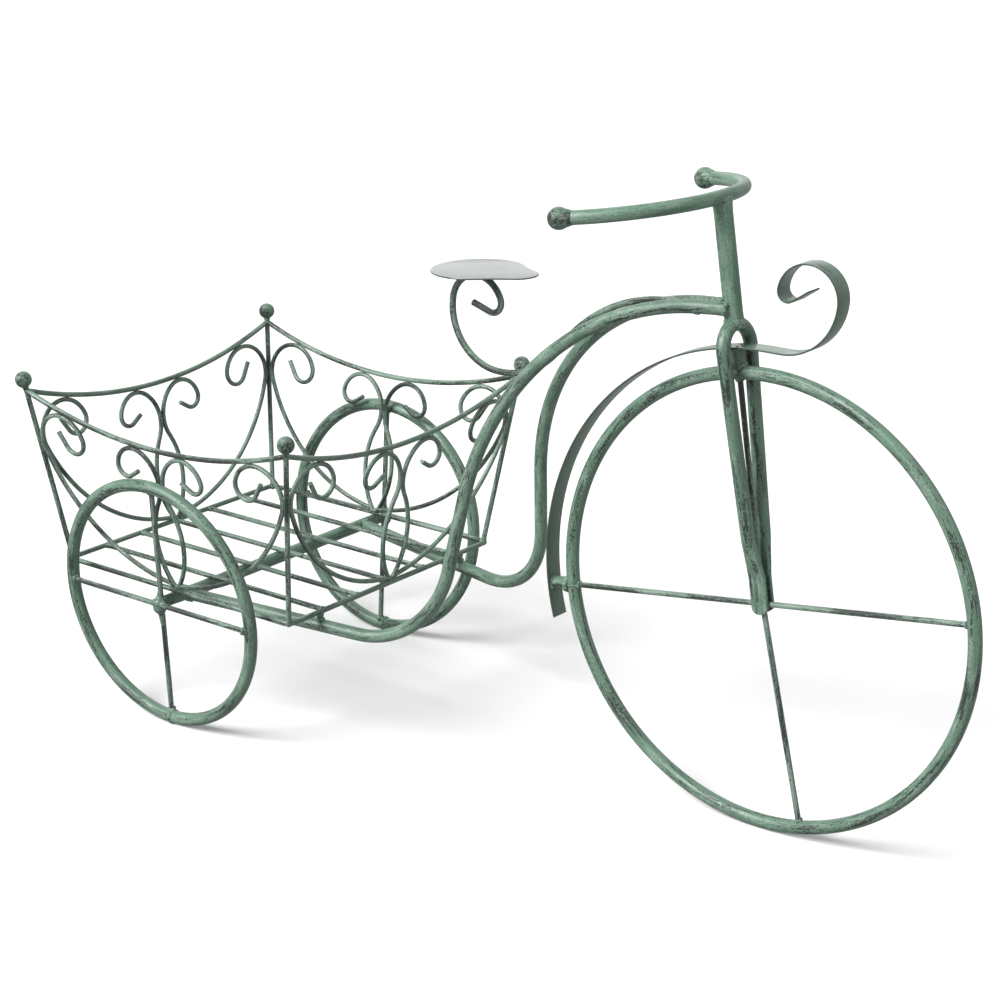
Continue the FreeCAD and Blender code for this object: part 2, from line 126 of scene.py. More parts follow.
class GuardSizes(PropertyGroup):
    """The flat strip round the front wheel, with its curl."""

    ring_r: size("Ring", 221.0, "Radius of the strip round the wheel")
    wide: size("Width", 18.5, "Width of the strip")
    thick: size("Thickness", 1.6, "Thickness of the strip")
    foot: turn("Foot", 196.0, "Where the strip starts, round the hub from the front")
    top: turn("Top", 90.5, "Where the strip leaves the ring")
    lead: size("Lead", 14.6, "Straight run before the curl")
    sweep_r: size("Sweep", 52.4, "Radius of the first bend")
    sweep: turn("Sweep turn", 82.3, "Turn of the first bend")
    curl_r: size("Curl", 28.2, "Radius of the curl")
    curl: turn("Curl turn", 178.2, "Turn of the curl")
    tip_r: size("Tip", 8.8, "Radius of the last bend")
    tip: turn("Tip turn", 133.5, "Turn of the last bend")
    tail: size("Tail", 17.5, "Straight end")


class FrameSizes(PropertyGroup):
    """The two bent tubes from the stem to the rear axle."""

    top_z: size("Top height", 455.0, "Height of the tubes at the stem")
    top_y: size("Top offset", 5.6, "Offset of each tube at the stem")
    end_back: size("Set back", 3.0, "How far the tube ends behind the middle of the stem")
    top_run: size("Top run", 26.4, "Straight run at the stem")
    arch_x: size("Arch forward", 301.504, "Corner of the arch, ahead of the rear axle")
    arch_y: size("Arch offset", 23.0, "Corner of the arch, off the middle")
    arch_z: size("Arch height", 438.0, "Corner of the arch, off the ground")
    low_x: size("Low forward", 262.013, "Lower corner, ahead of the rear axle")
    low_y: size("Low offset", 82.0, "Lower corner, off the middle")
    low_z: size("Low height", 113.5, "Lower corner, off the ground")
    low_r: size("Low bend", 86.0, "Radius of the lower bend")
    axle_y: size("Axle offset", 126.5, "End of each tube at the rear axle")


class BasketSizes(PropertyGroup):
    """The square basket with its rails and scrolls."""

    fwd: size("Forward", 3.0, "Middle of the basket, ahead of the axle")
    base: size("Floor side", 287.0, "Side of the square floor")
    corner_r: size("Floor corner", 7.0, "Bend of the floor rod at its corners")
    top: size("Top side", 336.0, "Side of the square at the finials")
    top_z: size("Top height", 310.8, "Height of the finials")
    finial_d: size("Finial", 16.0, "Diameter of the corner balls")
    slats: IntProperty(name="Slats", description="Rods across the floor", default=5, min=1)
    rail_drop: size("Rail drop", 11.0, "From the finial down to the end of the rail")
    rail_sag: size("Rail sag", 28.8, "Fall of the rail in its middle")
    outer_foot: size("Outer foot", 4.0, "Foot of an outer scroll, off the middle of the side")
    outer_long_r: size("Outer arc", 179.0, "Radius of an outer scroll's long arc")
    outer_curl_r: size("Outer curl", 28.6, "Radius of its curl")
    outer_curl: turn("Outer curl turn", 184.0, "Turn of its curl")
    outer_tip_r: size("Outer tip", 12.8, "Radius of its last bend")
    outer_tip: turn("Outer tip turn", 166.0, "Turn of its last bend")
    outer_tail: size("Outer tail", 16.0, "Its straight end")
    belly_r: size("Inner belly", 79.0, "Radius of an inner scroll's belly")
    shoulder_r: size("Inner shoulder", 35.5, "Radius of its shoulder")
    meet: turn("Inner meet", 146.0, "Heading where the shoulder becomes the curl")
    inner_curl_r: size("Inner curl", 23.0, "Radius of its curl")
    inner_curl: turn("Inner curl turn", 112.0, "Turn of its curl")
    inner_tip_r: size("Inner tip", 10.2, "Radius of its last bend")
    inner_tip: turn("Inner tip turn", 134.0, "Turn of its last bend")
    inner_tail: size("Inner tail", 12.0, "Its straight end")


class SaddleSizes(PropertyGroup):
    """The pear-shaped plate and the curled rod that carries it."""

    back: size("Set back", 40.5, "Front end of the rod, behind the middle of the stem")
    down: size("Set down", 4.3, "Front end of the rod, below the top of the frame tubes")
    heading: turn("Heading", 174.2, "Heading of the rod at its front end")
    over_r: size("Over", 150.3, "Radius of the bend over the frame tubes")
    over: turn("Over turn", 58.7, "Turn of that bend")
    dip_r: size("Dip", 83.8, "Radius of the bend down behind the tubes")
    dip: turn("Dip turn", 55.0, "Turn of that bend")
    sweep_r: size("Sweep", 52.4, "Radius of the bend up to the loop")
    sweep: turn("Sweep turn", 96.4, "Turn of that bend")
    loop_r: size("Loop", 27.8, "Radius of the loop under the plate")
    loop: turn("Loop turn", 151.5, "Turn of the loop")
    tip_r: size("Tip", 9.8, "Radius of the last bend")
    tip: turn("Tip turn", 127.7, "Turn of the last bend")
    tail: size("Tail", 19.3, "Straight end")
    edge: size("Edge", 0.45, "Rounding of the plate's edge")


class PaintLook(PropertyGroup):
    """Colours and wear of the brushed paint."""

    sage: colour("Sage", (0.146, 0.242, 0.178), "The paint")
    shade: colour("Shade", (0.110, 0.186, 0.136), "The paint where it lies thick")
    # Pale is scuffed paint and also a painted highlight: its streaks lighten the thin rods, the stem and the
    # handlebar where they catch the light.
    pale: colour("Pale", (0.33, 0.42, 0.36), "Thin, scuffed paint")
    metal: colour("Metal", (0.010, 0.013, 0.011), "Dark iron where the paint is rubbed off")
    wear: FloatProperty(name="Wear", description="How worn the paint is; 1 is as in the photo", default=1.0,
                        min=0.0)
    gloss: share("Roughness", 0.38, "Roughness of the paint")


class StageLook(PropertyGroup):
    """Floor, light and camera."""

    floor: colour("Floor", (0.98, 0.98, 0.98), "The pale floor")
    bounce: colour("Bounce", (0.28, 0.28, 0.28), "The floor as it lights the stand from below")
    mirrored: colour("Mirrored", (0.45, 0.45, 0.45), "The floor as it shows in the gloss of the paint")
    light: FloatProperty(name="Light", description="Strength of the studio light", default=1.0, min=0.0)
    eye: FloatVectorProperty(name="Eye", description="Place of the camera",
                             default=(1.31535, -1.70775, 0.96488), subtype="TRANSLATION", unit="LENGTH")
    yaw: turn("Yaw", 127.992, "Heading of the view, from +X to the left")
    pitch: turn("Pitch", 18.533, "How far the view looks down")
    roll: turn("Roll", 0.141, "Tilt of the picture")
    lens: FloatProperty(name="Lens", description="Focal length on a 36 mm sensor", default=91.16,
                        subtype="DISTANCE_CAMERA")


class StandSettings(PropertyGroup):
    """Everything that the operators read."""

    stock: PointerProperty(type=StockSizes)
    wheel: PointerProperty(type=WheelSizes)
    bar: PointerProperty(type=BarSizes)
    guard: PointerProperty(type=GuardSizes)
    frame: PointerProperty(type=FrameSizes)
    basket: PointerProperty(type=BasketSizes)
    saddle: PointerProperty(type=SaddleSizes)
    paint: PointerProperty(type=PaintLook)
    stage: PointerProperty(type=StageLook)


# Node trees

FLOAT, INT, VECTOR, GEOMETRY = "NodeSocketFloat", "NodeSocketInt", "NodeSocketVector", "NodeSocketGeometry"
MATERIAL, SWITCH = "NodeSocketMaterial", "NodeSocketBool"


class Nodes:
    """A node tree, with short ways to add nodes and to link or set their inputs."""

    def __init__(self, tree):
        self.tree = tree

    def add(self, kind, inputs=None, **settings):
        """The outputs of a new node, set up, with its inputs linked or set by name or number."""
        made = self.tree.nodes.new(kind)
        for key, value in settings.items():
            setattr(made, key, value)
        for key, value in (inputs or {}).items():
            if isinstance(value, bpy.types.NodeSocket):
                self.tree.links.new(value, made.inputs[key])
            else:
                made.inputs[key].default_value = value
        return made.outputs

    def maths(self, operation, *values):
        """A Math node's result; each value is a number or a socket."""
        return self.add("ShaderNodeMath", dict(enumerate(values)), operation=operation)[0]

    def plus(self, a, b):
        return self.maths("ADD", a, b)

    def minus(self, a, b):
        return self.maths("SUBTRACT", a, b)

    def times(self, a, b):
        return self.maths("MULTIPLY", a, b)

    def ranged(self, value, low, high, to_low=0.0, to_high=1.0, easing="LINEAR"):
        """A value brought from one range to another, and held inside it."""
        return self.add("ShaderNodeMapRange", {"Value": value, "From Min": low, "From Max": high,
                                               "To Min": to_low, "To Max": to_high},
                        interpolation_type=easing)[0]

    def split(self, vector):
        return self.add("ShaderNodeSeparateXYZ", {0: vector})

    def joined(self, x, y=0.0, z=0.0):
        return self.add("ShaderNodeCombineXYZ", {"X": x, "Y": y, "Z": z})[0]

    def scaled(self, vector, across, along):
        """Wear coordinates divided by a width and a length."""
        part = self.split(vector)
        return self.joined(*[self.maths("DIVIDE", part[axis], by)
                             for axis, by in (("X", across), ("Y", across), ("Z", along))])

    def noise(self, vector, detail=2.0, rough=0.5, scale=1.0):
        return self.add("ShaderNodeTexNoise", {"Vector": vector, "Scale": scale, "Detail": detail,
                                               "Roughness": rough})[0]

    def mixed(self, factor, a, b):
        """A colour between two others."""
        return self.add("ShaderNodeMix", {0: factor, 6: a, 7: b}, data_type="RGBA")[2]

    def position(self):
        return self.add("GeometryNodeInputPosition")[0]

    def read(self, name, kind="FLOAT"):
        return self.add("GeometryNodeInputNamedAttribute", {"Name": name}, data_type=kind)[0]

    def store(self, geometry, name, value, kind="FLOAT"):
        """Keep a field on the points of a geometry, under a name that materials read."""
        return self.add("GeometryNodeStoreNamedAttribute", {"Geometry": geometry, "Name": name,
                                                            "Value": value}, data_type=kind, domain="POINT")[0]


def node_group(kind, name, inputs, outputs):
    """The nodes of a new group with named sockets, what it is given, and the sockets of its result."""
    tree = bpy.data.node_groups.new(name, kind)
    for way, sockets in (("INPUT", inputs), ("OUTPUT", outputs)):
        for label, socket, default in sockets:
            made = tree.interface.new_socket(label, in_out=way, socket_type=socket)
            if default is not None:
                made.default_value = default
    return Nodes(tree), tree.nodes.new("NodeGroupInput").outputs, tree.nodes.new("NodeGroupOutput").inputs


def once(name, make):
    """A node group that is made the first time it is asked for."""
    return bpy.data.node_groups.get(name) or make()


def close_tree(n, geometry, material, result):
    """End a geometry tree with realised instances and the material."""
    geometry = n.add("GeometryNodeRealizeInstances", {"Geometry": geometry})[0]
    geometry = n.add("GeometryNodeSetMaterial", {"Geometry": geometry, "Material": material})[0]
    n.tree.links.new(geometry, result[0])
    return n.tree


# Unevenness of a bent rod, in waves per metre, and where the worn edge of a strip starts and is full
RIPPLE_SCALE = 45.0
EDGE_START, EDGE_FULL = 0.0007, 0.0002


def rod_tree():
    """A tube along a curve, swollen at welded ends, with its own coordinates for the wear."""
    n, given, result = node_group("GeometryNodeTree", "Bent rod", [
        ("Curve", GEOMETRY, None), ("Half width", FLOAT, 0.006), ("Half thickness", FLOAT, 0.006),
        ("Edge", FLOAT, 0.006), ("Sides", INT, 24), ("Step", FLOAT, 0.003), ("Start swell", FLOAT, 0.0),
        ("End swell", FLOAT, 0.0), ("Swell reach", FLOAT, 0.008), ("Unevenness", FLOAT, 0.01),
        ("Seed", FLOAT, 0.0), ("Hold flat", SWITCH, False), ("Across", VECTOR, (0, 1, 0)),
        ("Material", MATERIAL, None)],
        [("Mesh", GEOMETRY, None)])
    half, edge, flat = given["Half width"], given["Edge"], given["Hold flat"]
    line = n.add("GeometryNodeResampleCurve", {"Curve": given["Curve"], "Length": given["Step"]},
                 mode="LENGTH")[0]
    along = n.add("GeometryNodeSplineParameter")["Length"]
    whole = n.add("GeometryNodeSplineLength")["Length"]

    def swelling(distance, amount):
        """A swelling that fades out along the rod."""
        return n.times(n.ranged(distance, 0.0, given["Swell reach"], 1.0, 0.0, "SMOOTHERSTEP"), amount)

    def squared(value, half_side):
        """Push a round section out to a flat one whose rounded edges have the edge radius."""
        push = n.times(n.maths("SIGN", value), n.minus(half_side, edge))
        return n.plus(push, n.times(value, edge))

    swell = n.plus(swelling(along, given["Start swell"]), swelling(n.minus(whole, along), given["End swell"]))
    shifted = n.plus(along, given["Seed"])
    line = n.store(line, "along", shifted)
    line = n.store(line, "weld", n.maths("DIVIDE", swell, n.times(half, 0.5)))
    ripple = n.noise(n.joined(shifted), 1.0, scale=RIPPLE_SCALE)
    ripple = n.times(n.minus(ripple, 0.5), given["Unevenness"])
    grow = n.plus(1.0, n.plus(ripple, n.maths("DIVIDE", swell, half)))
    held = n.add("GeometryNodeSetCurveNormal", {"Curve": line, "Normal": given["Across"]}, mode="FREE")[0]
    line = n.add("GeometryNodeSwitch", {"Switch": flat, "False": line, "True": held})[0]
    ring = n.add("GeometryNodeCurvePrimitiveCircle", {"Resolution": given["Sides"], "Radius": 1.0})[0]
    at = n.split(n.position())
    section = n.joined(squared(at["X"], half), squared(at["Y"], given["Half thickness"]))
    ring = n.add("GeometryNodeSetPosition", {"Geometry": ring, "Position": section})[0]
    ring = n.store(ring, "side", n.position(), "FLOAT_VECTOR")
    mesh = n.add("GeometryNodeCurveToMesh", {"Curve": line, "Profile Curve": ring, "Scale": grow,
                                             "Fill Caps": True})[0]
    side = n.split(n.read("side", "FLOAT_VECTOR"))
    mesh = n.store(mesh, "rod", n.joined(side["X"], side["Y"], n.read("along")), "FLOAT_VECTOR")
    facing = n.split(n.add("GeometryNodeInputNormal")[0])
    mesh = n.store(mesh, "rub", n.maths("ABSOLUTE", facing["Y"]))
    rim = n.ranged(n.maths("ABSOLUTE", side["X"]), n.minus(half, EDGE_START), n.minus(half, EDGE_FULL))
    rim = n.add("GeometryNodeSwitch", {"Switch": flat, "False": 0.0, "True": rim}, input_type="FLOAT")[0]
    return close_tree(n, n.store(mesh, "edge", rim), given["Material"], result)


# Drops of weld: grain of their uneven sizes, least size and spread, skin of the run-together mass, easing
DROP_GRAIN = 900.0
DROP_LEAST, DROP_SPREAD = 0.55, 0.9
BEAD_SKIN = 0.1
BEAD_EASING = 6


def weld_tree():
    """Weld metal: drops of given sizes at the points of a mesh, run together into smooth beads."""
    n, given, result = node_group("GeometryNodeTree", "Weld beads", [
        ("Points", GEOMETRY, None), ("Grain", FLOAT, 0.0005), ("Seed", FLOAT, 0.0),
        ("Material", MATERIAL, None)], [("Mesh", GEOMETRY, None)])
    jitter = n.add("ShaderNodeTexNoise", {"Vector": n.position(), "W": given["Seed"], "Scale": DROP_GRAIN},
                   noise_dimensions="4D")[0]
    radius = n.times(n.read("size"), n.plus(DROP_LEAST, n.times(jitter, DROP_SPREAD)))
    drops = n.add("GeometryNodeMeshToPoints", {"Mesh": given["Points"], "Radius": radius})[0]
    mass = n.add("GeometryNodePointsToVolume", {"Points": drops, "Voxel Size": given["Grain"],
                                                "Radius": radius}, resolution_mode="VOXEL_SIZE")[0]
    mesh = n.add("GeometryNodeVolumeToMesh", {"Volume": mass, "Voxel Size": given["Grain"],
                                              "Threshold": BEAD_SKIN}, resolution_mode="VOXEL_SIZE")[0]
    eased = n.add("GeometryNodeBlurAttribute", {"Value": n.position(), "Iterations": BEAD_EASING},
                  data_type="FLOAT_VECTOR")[0]
    mesh = n.add("GeometryNodeSetPosition", {"Geometry": mesh, "Position": eased})[0]
    mesh = n.add("GeometryNodeSetShadeSmooth", {"Geometry": mesh})[0]
    mesh = n.store(mesh, "rod", n.position(), "FLOAT_VECTOR")
    mesh = n.store(mesh, "rub", 0.5)
    mesh = n.store(mesh, "weld", 1.0)
    return close_tree(n, mesh, given["Material"], result)


def grown(source, name, tree, values):
    """Run a geometry tree on an object and keep the result as a plain mesh object at the origin."""
    modifier = source.modifiers.new("made", "NODES")
    modifier.node_group = tree
    for item in tree.interface.items_tree:
        if item.in_out == "INPUT" and item.name in values:
            modifier[item.identifier] = values[item.name]
    bpy.context.view_layer.update()
    evaluated = source.evaluated_get(bpy.context.evaluated_depsgraph_get())
    mesh = bpy.data.meshes.new_from_object(evaluated)
    mesh.name = name
    bpy.data.objects.remove(source)
    return placed(name, mesh)


def placed(name, data):
    """A new object at the origin, in the scene."""
    obj = bpy.data.objects.new(name, data)
    bpy.context.scene.collection.objects.link(obj)
    return obj


def keep(obj, *nodes):
    """Let a finished piece ride on the stand and stand for its solids."""
    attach(obj, BODY)
    if nodes:
        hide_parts(*nodes)
    return obj


# Routes of straight runs and tangent bends, as Bezier knots: handle, point, handle

def start_at(point):
    return [[point.copy(), point.copy(), point.copy()]]


def run_to(knots, end):
    at = knots[-1][1]
    knots[-1][2] = at.lerp(end, 1 / 3)
    knots.append([at.lerp(end, 2 / 3), end.copy(), end.copy()])


def bend_to(knots, centre, axis, angle):
    """Follow an arc about an axis, in steps of an eighth of a turn at most."""
    steps = max(1, math.ceil(abs(angle) / (QUARTER / 2) - 1e-6))
    step = angle / steps
    spin = Matrix.Rotation(step, 3, axis)
    for _ in range(steps):
        at = knots[-1][1]
        arm = at - centre
        reach = 4 / 3 * math.tan(step / 4)
        end = centre + spin @ arm
        knots[-1][2] = at + axis.cross(arm) * reach
        knots.append([end - axis.cross(spin @ arm) * reach, end, end.copy()])


def flat_route(origin, u, v, start, heading, runs):
    """Runs on the plane of u and v: (length,) is straight, (radius, turn) a bend, left if positive."""
    knots = start_at(origin + u * start[0] + v * start[1])
    axis = u.cross(v)
    for part in runs:
        at = knots[-1][1]
        if len(part) == 1:
            run_to(knots, at + (u * math.cos(heading) + v * math.sin(heading)) * part[0])
        else:
            left = v * math.cos(heading) - u * math.sin(heading)
            bend_to(knots, at + left * math.copysign(part[0], part[1]), axis, part[1])
            heading += part[1]
    return knots


def corner_route(points, radii):
    """A route through corner points in space, each corner rounded."""
    knots = start_at(points[0])
    for corner, after, radius in zip(points[1:-1], points[2:], radii):
        back = (knots[-1][1] - corner).normalized()
        ahead = (after - corner).normalized()
        half = back.angle(ahead) / 2
        run_to(knots, corner + back * (radius / math.tan(half)))
        centre = corner + (back + ahead).normalized() * (radius / math.sin(half))
        bend_to(knots, centre, ahead.cross(back).normalized() * -1, -(math.pi - 2 * half))
    run_to(knots, points[-1])
    return knots


def straight(p, q):
    knots = start_at(p)
    run_to(knots, q)
    return knots


def meet(c, r, d, s):
    """Where two flat circles meet, to the left of c to d."""
    dx, dy = d[0] - c[0], d[1] - c[1]
    gap = math.hypot(dx, dy)
    along = (gap * gap + r * r - s * s) / (2 * gap)
    off = math.sqrt(r * r - along * along)
    return (c[0] + (along * dx - off * dy) / gap, c[1] + (along * dy + off * dx) / gap)


# How a rod is swept: points of its route, sides and steps by its diameter, and its swelling at a weld
ROUTE_POINTS = 40
THICK_ROD, THICK_SIDES, THIN_SIDES = 0.01, 32, 20
STEP_SHARE, LEAST_STEP = 0.28, 0.0014
SWELL_REACH = 0.95
STRIP_EDGE = 0.7
UNEVENNESS = 0.02
SEED_STEP = 0.731
# How weld metal is meshed
WELD_GRAIN = 0.00045
WELD_SEED_STEP = 0.1
# How a ball is turned: its rings and sides, and the collar of weld in shares of the neck
BALL_RINGS, BALL_SIDES, COLLAR_RINGS = 28, 36, 7
COLLAR_WIDE, COLLAR_END = 1.3, 1.01
# How the copy of a solid is merged, bevelled and shaded
MERGE = 2e-6
FLAT, SHARP, CREASE = math.radians(1), math.radians(50), math.radians(35)
BEVEL_STEPS = 3
RIM_SLOPE = 0.8


def note(mesh, name, values, kind="FLOAT", field="value"):
    """Write values on the points of a mesh, under a name that trees and materials read."""
    mesh.attributes.new(name, kind, "POINT").data.foreach_set(field, values)


class Maker:
    """Shared work of the operators: positions, materials, and rods along routes."""

    count = 0

    def __init__(self, context):
        g = self.g = context.scene.plant_stand
        tube_r = g.stock.tube_d / 2
        rear = g.basket.fwd - g.basket.top / 2 - g.basket.finial_d / 2
        self.shift = X * -((rear + g.wheel.base + g.wheel.front_r + tube_r) / 2)
        self.axle_z = g.wheel.rear_r * math.cos(g.wheel.camber) + tube_r
        self.base_z = self.axle_z + tube_r + g.stock.wire_d / 2
        self.hub = self.shift + Vector((g.wheel.base, 0, g.wheel.front_r + tube_r))
        self.steer = Vector((-math.sin(g.wheel.rake), 0, math.cos(g.wheel.rake)))
        self.level = Vector((math.cos(g.wheel.level), 0, math.sin(g.wheel.level)))
        self.down = Vector((math.sin(g.wheel.down), 0, -math.cos(g.wheel.down)))
        self.basket = self.shift + Vector((g.basket.fwd, 0, self.base_z))

    def seed(self):
        """A place of its own in the wear for each piece, the same on every run."""
        Maker.count += 1
        return Maker.count * SEED_STEP

    def paint(self, kind):
        name = "sage_paint_" + kind
        return bpy.data.materials.get(name) or paint_material(name, FINISHES[kind], self.g.paint)

    def rod(self, node_name, knots, d, finish, ends=(0, 0), closed=False, flat=None, step=None, across=None):
        """Sweep a rod or strip along a route and let it stand for a solid."""
        curve = bpy.data.curves.new("route", "CURVE")
        curve.dimensions = "3D"
        spline = curve.splines.new("BEZIER")
        if closed:
            knots[0][0] = knots[-1][0]
            knots = knots[:-1]
        spline.bezier_points.add(len(knots) - 1)
        for point, (left, at, right) in zip(spline.bezier_points, knots):
            point.handle_left_type = point.handle_right_type = "FREE"
            point.co, point.handle_left, point.handle_right = at, left, right
        spline.use_cyclic_u = closed
        spline.resolution_u = ROUTE_POINTS
        half, thick = flat or (d / 2, d / 2)
        values = {"Half width": half, "Half thickness": thick,
                  "Edge": min(half, thick) * (STRIP_EDGE if flat else 1.0),
                  "Sides": THICK_SIDES if d > THICK_ROD else THIN_SIDES,
                  "Step": step or max(LEAST_STEP, d * STEP_SHARE),
                  "Start swell": ends[0], "End swell": ends[1], "Swell reach": d * SWELL_REACH,
                  "Unevenness": UNEVENNESS, "Seed": self.seed(), "Material": self.paint(finish)}
        if across:
            values["Hold flat"] = True
            values["Across"] = across
        route = placed("route", curve)
        made = grown(route, "painted_" + node_name, once("Bent rod", rod_tree), values)
        bpy.data.curves.remove(curve)
        return keep(made, node_name)

    def welds(self, name, drops):
        """Beads of weld metal: each drop is a point and a radius."""
        mesh = bpy.data.meshes.new(name)
        mesh.from_pydata([p for p, _ in drops], [], [])
        note(mesh, "size", [r for _, r in drops])
        made = grown(placed("drops", mesh), name, once("Weld beads", weld_tree), {
            "Grain": WELD_GRAIN, "Seed": len(drops) * WELD_SEED_STEP, "Material": self.paint("weld")})
        return keep(made)

    def ball(self, node_name, centre, way, d, neck_r, neck_at):
        """A turned ball, with a collar of weld on the side that way points to."""
        r = d / 2
        profile = []
        stop = math.pi - math.asin(min(1.0, neck_r * COLLAR_WIDE / r))
        for i in range(1, BALL_RINGS + 1):
            a = stop * i / BALL_RINGS
            profile.append((-r * math.cos(a), r * math.sin(a)))
        foot, wide = profile[-1]
        for i in range(1, COLLAR_RINGS + 1):
            t = i / COLLAR_RINGS
            ease = t * t * (3 - 2 * t)
            profile.append((foot + (neck_at - foot) * t, wide + (neck_r * COLLAR_END - wide) * ease))
        spin = way.to_track_quat("Z", "Y").to_matrix()
        mesh = bpy.data.meshes.new("ball")
        bm = bmesh.new()

        def corner(x, y, z):
            return bm.verts.new(centre + spin @ Vector((x, y, z)))

        angles = [FULL_TURN * k / BALL_SIDES for k in range(BALL_SIDES)]
        tip = corner(0, 0, -r)
        rows = [[corner(w * math.cos(a), w * math.sin(a), s) for a in angles] for s, w in profile]
        end = corner(0, 0, neck_at)
        for k in range(BALL_SIDES):
            n = (k + 1) % BALL_SIDES
            bm.faces.new((tip, rows[0][n], rows[0][k]))
            for a, b in zip(rows, rows[1:]):
                bm.faces.new((a[k], a[n], b[n], b[k]))
            bm.faces.new((rows[-1][k], rows[-1][n], end))
        bmesh.ops.recalc_face_normals(bm, faces=bm.faces)
        bm.to_mesh(mesh)
        bm.free()
        mesh.shade_smooth()
        made = placed("painted_" + node_name, mesh)
        self.own_coordinates(mesh, centre, way)
        mesh.materials.append(self.paint("ball"))
        return keep(made, node_name)

    def own_coordinates(self, mesh, origin, way):
        """Store the wear coordinates of a piece that has one straight axis."""
        spin = way.to_track_quat("Z", "Y").to_matrix().inverted()
        shifted = Vector((0, 0, self.seed()))
        values = []
        for vertex in mesh.vertices:
            values.extend(spin @ (vertex.co - origin) + shifted)
        note(mesh, "rod", values, "FLOAT_VECTOR", "vector")
        note(mesh, "rub", [abs(vertex.normal.y) for vertex in mesh.vertices])

    def copied(self, node_name, origin, way, finish, bevel=0.0):
        """A merged, smooth-shaded copy of a solid that is not a plain rod."""
        mesh = frame["nodes"][node_name].data.copy()
        mesh.materials.clear()
        bm = bmesh.new()
        bm.from_mesh(mesh)
        bmesh.ops.remove_doubles(bm, verts=bm.verts, dist=MERGE)
        if bevel:
            bmesh.ops.dissolve_limit(bm, angle_limit=FLAT, verts=bm.verts, edges=bm.edges)
            sharp = [e for e in bm.edges if e.calc_face_angle(0) > SHARP]
            bmesh.ops.bevel(bm, geom=sharp, offset=bevel, segments=BEVEL_STEPS, affect="EDGES", profile=0.5)
        for face in bm.faces:
            face.smooth = True
        for edge in bm.edges:
            edge.smooth = edge.calc_face_angle(0) < CREASE
        bm.to_mesh(mesh)
        bm.free()
        made = placed("painted_" + node_name, mesh)
        for name in [layer.name for layer in mesh.uv_layers]:
            mesh.uv_layers.remove(mesh.uv_layers[name])
        self.own_coordinates(mesh, origin, way)
        if bevel:
            note(mesh, "edge", [1.0 if abs(vertex.normal.z) < RIM_SLOPE else 0.0 for vertex in mesh.vertices])
        mesh.materials.append(self.paint(finish))
        return keep(made, node_name)


# Paint

# Wear of a finish: width and length of its streaks, share rubbed off, share scuffed pale (which also paints
# highlights), extra wear at welds, share of thin worn lines, strength of the green, weight of the clear coat
# and its index of refraction
Finish = namedtuple("Finish", "width length bare pale welds lines green coat coat_ior")
FINISHES = {
    "tube": Finish(0.0010, 0.009, 0.28, 0.46, 0.03, 0.95, 1.05, 0.0, 1.5),
    "frame": Finish(0.0010, 0.009, 0.20, 0.72, 0.03, 0.50, 1.05, 0.0, 1.5),
    # The smooth finish of the stem and handlebar and the rod finish get large pale shares: painted highlights,
    # besides scuffs.
    "smooth": Finish(0.0012, 0.012, 0.04, 0.86, 0.03, 0.15, 1.15, 0.0, 1.5),
    "rod": Finish(0.0012, 0.012, 0.64, 0.92, 0.10, 0.45, 0.92, 0.0, 1.5),
    "strip": Finish(0.0016, 0.012, 0.22, 0.50, 0.10, 0.0, 1.15, 0.40, 1.6),
    # The plate's weak green greys its paint: a painted part of the pale sky reflection on its top.
    "plate": Finish(0.0030, 0.020, 0.02, 0.10, 0.10, 0.0, 0.40, 0.52, 2.1),
    "ball": Finish(0.0024, 0.004, 0.52, 0.50, 0.10, 0.0, 1.0, 0.0, 1.5),
    "weld": Finish(0.0012, 0.0012, 0.30, 0.66, 0.0, 0.0, 1.0, 0.0, 1.5),
}

# Streaks: how much larger the patches are, and how strongly patches, specks and facing sideways count
PATCH_SIZE = 5.0
PATCH_WEIGHT, SPECK_WEIGHT, RUB_WEIGHT = 1.5, 1.0, 0.30
RUB_MIDDLE = 0.6
BARE_AT, COVER_WEIGHT = 0.88, 0.5
# Width and length of the specks, of the thin lines' wandering and of their dashes
SPECK, WANDER, DASH = (0.0007, 0.0022), (0.008, 0.16), (0.0010, 0.0032)
LINE_RANGE = (0.014, 0.060)
DASH_WEIGHT, DASH_PATCH, DASH_RANGE = 1.4, 0.9, (1.12, 1.24)
# Mottle: its result, the coordinates it reads, its width and length, and its detail
MOTTLE = (("Cloud", "Vector", 0.05, 0.05, 3.0), ("Brush", "Rod", 0.0012, 0.02, 3.0),
          ("Grain", "Rod", 0.0011, 0.0016, 2.0))

# Softness of the rubbed and the scuffed edge, and the pale scuffs, which also paint highlights, against the
# rubbed streaks
BARE_SOFT, SCUFF_AND_HIGHLIGHT_SOFT = 0.06, 0.14
SCUFF_AND_HIGHLIGHT_WIDTH, SCUFF_AND_HIGHLIGHT_LENGTH, SCUFF_AND_HIGHLIGHT_LINES = 0.9, 0.4, 0.7
# How far the edge of a strip is worn, how pale the scuffs and painted highlights get, and how dark bare metal
EDGE_WEAR, SCUFF_AND_HIGHLIGHT_STRENGTH, BARE_STRENGTH = 0.8, 0.40, 0.92
# Ranges of the mottle, and of the brightness that brush and sponge give
CLOUD_RANGE, BRUSH_RANGE, SPONGE_RANGE = (0.35, 0.65), (0.25, 0.75, 0.86, 1.12), (0.3, 0.7, 0.82, 1.16)
# Roughness: range of the brush marks, smoother and rougher than the paint, and rougher on bare metal
ROUGH_RANGE, SMOOTHER, ROUGHER, BARE_ROUGHER = (0.2, 0.8), 0.07, 0.1, 0.12
GRAIN_HEIGHT, BARE_DEPTH = 0.5, 0.7
BUMP_STRENGTH, BUMP_DISTANCE = 0.35, 0.0004
COAT_ROUGHNESS = 0.16


def full(rgb):
    """A colour with full alpha."""
    return (*rgb, 1.0)


